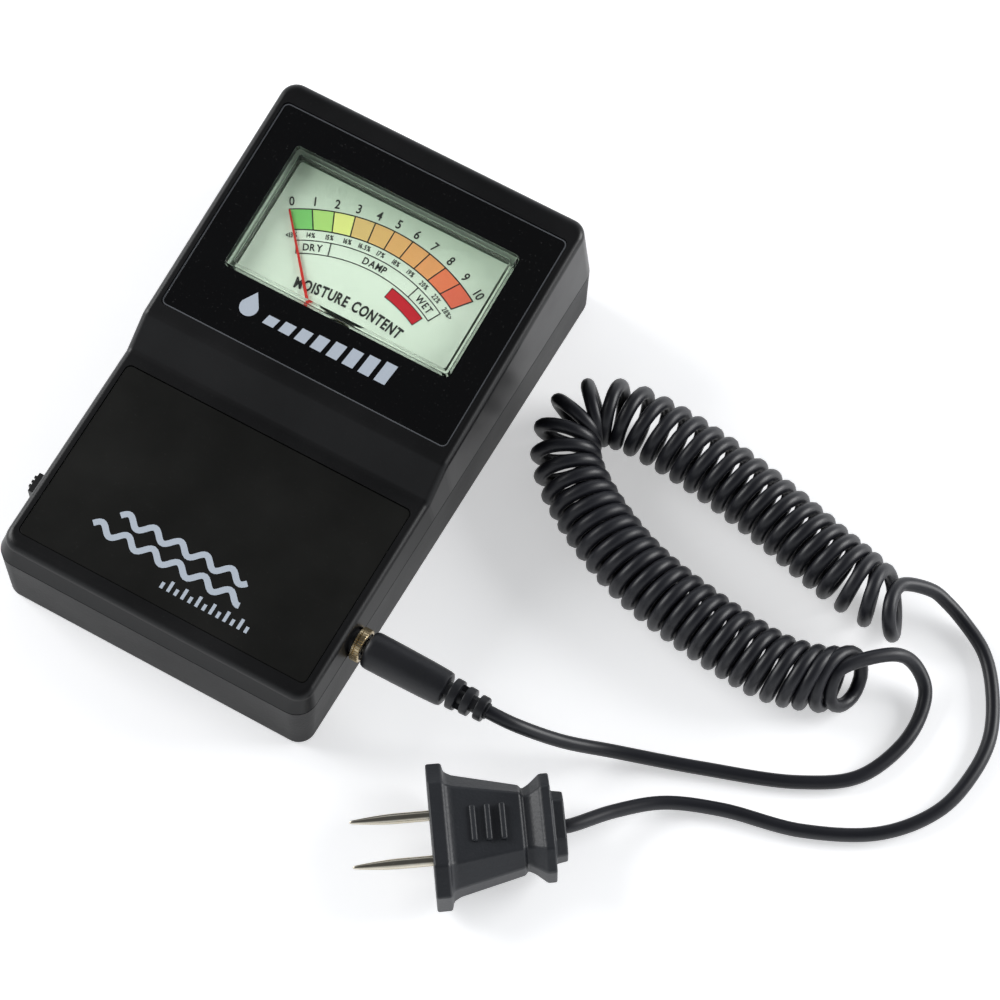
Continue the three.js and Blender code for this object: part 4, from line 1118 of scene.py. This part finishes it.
def probe_body():
    rings = []
    for along, wide, flat, high, edge in PROBE_SECTIONS:
        right = [(flat, -high), (wide, -edge), (wide, edge), (flat, high)]
        left = [(-y, z) for y, z in reversed(right)]
        rings.append([(along, y, z) for y, z in right + left])
    body = softened(skin(rings), 0.55, steps=4, angle=20)
    ribs = []
    for side in (1, -1):
        rib = softened(block(-0.7, 0.7, -4.3, 4.3, 5.5, 7.7), 0.45, steps=3)
        rib = moved(rib, Matrix.Rotation(0.0 if side == 1 else pi, 4, "X"))
        ribs.append(repeated(IN_A_ROW, rib, PROBE_PLASTIC, Count=3, Start=(9.5, 0.0, 0.0),
                             Step=(3.3, 0.0, 0.0)))
    bores = [moved(turned_along_x([(0, -1), (1.5, -1), (1.5, 8), (0, 8)], 24),
                   Matrix.Translation((0, side * PIN_SIDE, 0))) for side in (-1, 1)]
    body = carved(body, added=ribs, cut=bores)
    piece("probe_moulding", moved(body, PROBE), PROBE_PLASTIC, body="test_lead",
          replaces=["probe_body"], smooth=35)


def probe_pins():
    profile = [(0, -18), (0.28, -17.85), (0.42, -17.5), (0.6, -16.2), (0.92, -13.2), (1.14, -10.4),
               (1.24, -8.2), (1.25, -7.2), (1.25, 7.6), (0, 7.6)]
    pin = turned_along_x(profile, 24)
    pins = repeated(IN_A_ROW, pin, NICKEL, Count=2, Start=(0.0, -PIN_SIDE, 0.0),
                    Step=(0.0, 2 * PIN_SIDE, 0.0))
    return piece("probe_pins", moved(pins, PROBE), NICKEL, body="test_lead",
                 replaces=["probe_pin_1", "probe_pin_2"])


# ---------------------------------------------------------------- the lead

METER_SIDE_ROUTE = [
    (74.5, -44.5, 18), (76.6, -44.5, 18), (82, -43.7, 16.3), (92, -39.4, 9.2), (102, -34, 3.8),
    (121, -27, 1.8), (142, -19, 1.8), (153, -11.3, 1.8), (158, 0, 1.8), (158.4, 9, 1.9),
    (156.4, 15, 3.4), (151.6, 17.6, 7), (147.2, 15.4, 11.2)]
CURLY_ROUTE = [
    (142, 7), (134, 2.4), (125, 0.2), (115, 0.6), (104, 2), (93, 4), (84, 6.6), (75, 10.6),
    (67, 15.2), (60, 20.6), (56, 26.6), (55.6, 32.6), (59, 37.2), (65, 39.2), (72, 39.4),
    (81, 38.8), (91, 37.4), (107, 34.2), (123, 30.2), (133, 28.2), (144.4, 26.9)]
PROBE_SIDE_ROUTE = [
    (147.4, 35.6, 7.4), (151.4, 35.6, 5), (156.5, 34.2, 2.9), (164, 30, 1.8), (170, 22.4, 1.8),
    (174.6, 12, 1.8), (175.2, 2, 1.8), (172.7, -9.2, 1.8), (164, -20.5, 1.8), (148, -29, 1.8),
    (130, -33.5, 1.9), (118, -38.8, 2.8), (109.8, -47, 5.6), (103.1, -56.4, 9.1),
    (101.0, -57.9, 9.1)]
COIL_LEVEL = 8.72
TURN_POINTS = 24
AXIS_POINTS = 4000
ROUTE_STEPS = 14
JOIN_REACH = 4
JOIN_PASSES = 5
# Pitch of the coil, in millimetres, at fractions of the way along it: close on the first run,
# open round the bend, a little loose on the way back.
COIL_PITCH = [(0.0, 4.2), (0.07, 3.75), (0.4, 3.7), (0.46, 4.3), (0.53, 4.7), (0.6, 4.9), (0.66, 4.3),
              (0.9, 3.9), (0.94, 4.6), (0.975, 6.0), (1.0, 6.4)]
# How far the turns lean round from square to the coil, and how far they lie back, in degrees.
COIL_LEAN = [(0.0, -48.0), (0.022, -40.0), (0.06, -19.0), (0.115, -3.0), (0.15, 0.0), (0.91, 0.0),
             (0.95, 14.0), (0.985, 26.0), (1.0, 28.0)]
COIL_TILT = [(0.0, -26.0), (0.022, -18.0), (0.05, 0.0), (0.93, 0.0), (0.96, 10.0), (0.985, 20.0),
             (1.0, 24.0)]


def through(points, steps):
    """A smooth path through the points, as 3-D vectors."""
    points = [Vector(p) for p in points]
    first = points[0] * 2 - points[1]
    last = points[-1] * 2 - points[-2]
    padded = [first, *points, last]
    path = []
    for a, b, c, d in zip(padded, padded[1:], padded[2:], padded[3:]):
        knots = [0.0]
        for p, q in ((a, b), (b, c), (c, d)):
            knots.append(knots[-1] + max((q - p).length, 1e-6) ** 0.5)
        t0, t1, t2, t3 = knots
        for k in range(steps):
            t = t1 + (t2 - t1) * k / steps
            p1 = a * ((t1 - t) / (t1 - t0)) + b * ((t - t0) / (t1 - t0))
            p2 = b * ((t2 - t) / (t2 - t1)) + c * ((t - t1) / (t2 - t1))
            p3 = c * ((t3 - t) / (t3 - t2)) + d * ((t - t2) / (t3 - t2))
            q1 = p1 * ((t2 - t) / (t2 - t0)) + p2 * ((t - t0) / (t2 - t0))
            q2 = p2 * ((t3 - t) / (t3 - t1)) + p3 * ((t - t1) / (t3 - t1))
            path.append(q1 * ((t2 - t) / (t2 - t1)) + q2 * ((t - t1) / (t2 - t1)))
    path.append(points[-1])
    return path


def evenly(path, count):
    """count + 1 points spread evenly along a path."""
    far = [0.0]
    for p, q in zip(path, path[1:]):
        far.append(far[-1] + (q - p).length)
    out = []
    i = 0
    for k in range(count + 1):
        wanted = far[-1] * k / count
        while i < len(path) - 2 and far[i + 1] < wanted:
            i += 1
        share = (wanted - far[i]) / (far[i + 1] - far[i])
        out.append(path[i].lerp(path[i + 1], min(share, 1.0)))
    return out


def between_marks(marks, at):
    for (x0, y0), (x1, y1) in zip(marks, marks[1:]):
        if at <= x1:
            return y0 + (y1 - y0) * (at - x0) / (x1 - x0)
    return marks[-1][1]


def coil_path():
    """The cord's own centreline round the curly part. It winds from right over the top to the
    left, and it ends a sixth of a turn past the top."""
    axis = evenly(through([(x, y, COIL_LEVEL) for x, y in CURLY_ROUTE], 12), AXIS_POINTS)
    length = sum((q - p).length for p, q in zip(axis, axis[1:]))
    turns = [0.0]
    for k in range(1, len(axis)):
        turns.append(turns[-1] + length / AXIS_POINTS / between_marks(COIL_PITCH, k / AXIS_POINTS))
    whole = round(turns[-1]) + 1 / 6
    stretch = whole / turns[-1]
    total = int(whole * TURN_POINTS)
    path = []
    i = 0
    for k in range(total + 1):
        wanted = turns[-1] * k / total
        while i < len(turns) - 2 and turns[i + 1] < wanted:
            i += 1
        spot = axis[i]
        ahead = (axis[min(i + 20, AXIS_POINTS)] - axis[max(i - 20, 0)]).normalized()
        ahead = Matrix.Rotation(radians(between_marks(COIL_LEAN, i / AXIS_POINTS)), 3, "Z") @ ahead
        tilt = radians(between_marks(COIL_TILT, i / AXIS_POINTS))
        left = Vector((0, 0, 1)).cross(ahead)
        up = Vector((0, 0, 1)) * cos(tilt) - ahead * sin(tilt)
        spot = spot - Vector((0, 0, COIL_RADIUS * (1 - cos(tilt))))
        angle = 2 * pi * wanted * stretch
        path.append(spot + left * (COIL_RADIUS * sin(angle)) + up * (COIL_RADIUS * cos(angle)))
    return path


def ease_join(path, middle):
    """Rounds off the join at one point of the path."""
    for _ in range(JOIN_PASSES):
        before = list(path)
        for k in range(middle - JOIN_REACH, middle + JOIN_REACH + 1):
            share = 0.5 * (1 - abs(k - middle) / (JOIN_REACH + 1))
            path[k] = before[k].lerp((before[k - 1] + before[k + 1]) / 2, share)


def lead_path():
    """The whole lead's centreline: loose stretch, curly part, loose stretch."""
    coil = coil_path()
    start = through(METER_SIDE_ROUTE + [coil[2], coil[6]], ROUTE_STEPS)[:-ROUTE_STEPS]
    end = through([coil[-6], coil[-2], *PROBE_SIDE_ROUTE], ROUTE_STEPS)[ROUTE_STEPS:]
    path = start + coil[2:-2] + end
    ease_join(path, len(start))
    ease_join(path, len(path) - len(end))
    return path


def tube(path, radius, sides=12):
    """A closed tube round a path, turned as little as the path allows."""
    ahead = (path[1] - path[0]).normalized()
    side = ahead.cross(Vector((0, 0, 1))).normalized()
    rings = []
    for i, p in enumerate(path):
        forward = (path[min(i + 1, len(path) - 1)] - path[max(i - 1, 0)]).normalized()
        side = (side - forward * side.dot(forward)).normalized()
        up = forward.cross(side)
        rings.append([p + side * (radius * cos(2 * pi * k / sides)) + up * (radius * sin(2 * pi * k / sides))
                      for k in range(sides)])
    return skin(rings)


def lead():
    path = lead_path()
    cord = piece("test_lead_cord", tube(path, CORD_RADIUS), CORD_JACKET, body="test_lead",
                 replaces=["meter_side_cord", "curly_cord", "probe_side_cord"],
                 smooth=60)
    path = [p * MM for p in path]
    length = sum((q - p).length for p, q in zip(path, path[1:]))
    return cord, path, length


# ---------------------------------------------------------------- building it

CAD_FINISHES = [
    (STEEL, ["magnet_yoke", "magnet_core", "movement_screw_1", "movement_screw_2", "meter_screw_1",
             "meter_screw_2", "board_screw_1", "board_screw_2"]),
    (BRASS, ["upper_bridge", "lower_bridge", "meter_terminal_1", "meter_terminal_2"]),
    (COPPER, ["moving_coil", "upper_hairspring", "lower_hairspring"]),
    (NICKEL, ["plug_sleeve", "plug_tip"]),
    (NEEDLE_PAINT, ["pointer"]),
    (DIAL_CARD, ["dial_plate"]),
    (INNER_PLASTIC, ["meter_housing"]),
    (COMPONENT_RESIN, ["amplifier_chip", "capacitor_1", "capacitor_2", "jack_socket", "switch_body"]),
    (BOARD_MASK, ["main_board"]),
    (RESISTOR_LACQUER, ["resistor_1", "resistor_2", "resistor_3"]),
    (TRIMMER_PLASTIC, ["trimmer"]),
    (BATTERY_WRAP, ["battery"]),
    (FOAM_RUBBER, ["foam_pad"]),
    (RED_WIRE, ["battery_lead_red", "jack_lead", "meter_lead_red"]),
    (BLACK_WIRE, ["battery_snap", "battery_lead_black", "switch_lead", "meter_lead_black"])]

for material, nodes in CAD_FINISHES:
    for name in nodes:
        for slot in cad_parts[name].material_slots:
            slot.material = material

upper_shell()
lower_shell()
battery_cover()
case_screws()
fascia()
fascia_mark()
grip_label()
cover()
scale_segments()
scale_lines()
scale_lettering()
battery_patch()
knurled_nut()
switch_slide()
lead_plug()
probe_body()
pins = probe_pins()
cord, cord_path, cord_length = lead()

# ---------------------------------------------------------------- studio


def bench():
    """A wide pale floor that the meter lies on."""
    made = Finish("bench_white", roughness=0.85, specular=0.2)
    fibre = made.group(GRAIN, Scale=120.0)
    made.colour(made.between(fibre.outputs["Value"], tone(246, 247, 249), tone(252, 252, 253)))
    made.bump(fibre.outputs["Height"], 0.03, 0.0005)
    made.shader.inputs["Emission Color"].default_value = (1.0, 1.0, 1.0, 1.0)
    made.shader.inputs["Emission Strength"].default_value = 0.45
    mesh = mesh_from([(-3, -3, -0.004), (3, -3, -0.004), (3, 3, -0.004), (-3, 3, -0.004),
                      (-3, -3, 0.0), (3, -3, 0.0), (3, 3, 0.0), (-3, 3, 0.0)],
                     [(0, 3, 2, 1), (4, 5, 6, 7), (0, 1, 5, 4), (1, 2, 6, 5), (2, 3, 7, 6), (3, 0, 4, 7)])
    mesh.materials.append(made.material)
    in_scene("bench", mesh)


def lamp(name, place, aim, width, height, power, warmth=(1.0, 1.0, 1.0)):
    light = bpy.data.lights.new(name, "AREA")
    light.shape = "RECTANGLE"
    light.size = width
    light.size_y = height
    light.energy = power
    light.color = warmth
    holder = bpy.data.objects.new(name, light)
    bpy.context.scene.collection.objects.link(holder)
    holder.location = place
    holder.rotation_mode = "QUATERNION"
    holder.rotation_quaternion = (Vector(aim) - Vector(place)).to_track_quat("-Z", "Y")


def studio():
    world = bpy.data.worlds.new("studio")
    world.use_nodes = True
    sky = world.node_tree.nodes["Background"]
    sky.inputs["Color"].default_value = (0.93, 0.96, 1.0, 1.0)
    aim = add_node(world.node_tree, "ShaderNodeTexCoord").outputs["Generated"]
    height = add_node(world.node_tree, "ShaderNodeSeparateXYZ", None, {"Vector": aim}).outputs["Z"]
    glow = add_node(world.node_tree, "ShaderNodeMapRange", {"interpolation_type": "SMOOTHSTEP"}, {
        "Value": height, "From Min": 0.3, "From Max": 0.85, "To Min": 0.85, "To Max": 0.1})
    world.node_tree.links.new(glow.outputs["Result"], sky.inputs["Strength"])
    bpy.context.scene.world = world
    lamp("left_bank", (-1.0, -0.1, 0.6), (0.05, 0.0, 0.0), 0.7, 0.7, 9.0)
    lamp("right_bank", (0.95, 0.75, 0.5), (0.08, 0.0, 0.0), 0.7, 0.6, 11.0)
    bpy.context.scene.view_settings.view_transform = "Standard"


def camera():
    eye = Vector((0.2481, -0.3326, 0.8483))
    ahead = Vector((-0.2138, 0.3653, -0.9060))
    roll = radians(-0.64)
    data = bpy.data.cameras.new("studio_camera")
    data.sensor_width = 36.0
    data.lens = 144.0
    data.clip_end = 20.0
    holder = bpy.data.objects.new("studio_camera", data)
    bpy.context.scene.collection.objects.link(holder)
    turn = ahead.to_track_quat("-Z", "Y").to_matrix() @ Matrix.Rotation(roll, 3, "Z")
    holder.matrix_world = Matrix.Translation(eye) @ turn.to_4x4()
    bpy.context.scene.camera = holder


bench()
studio()
camera()
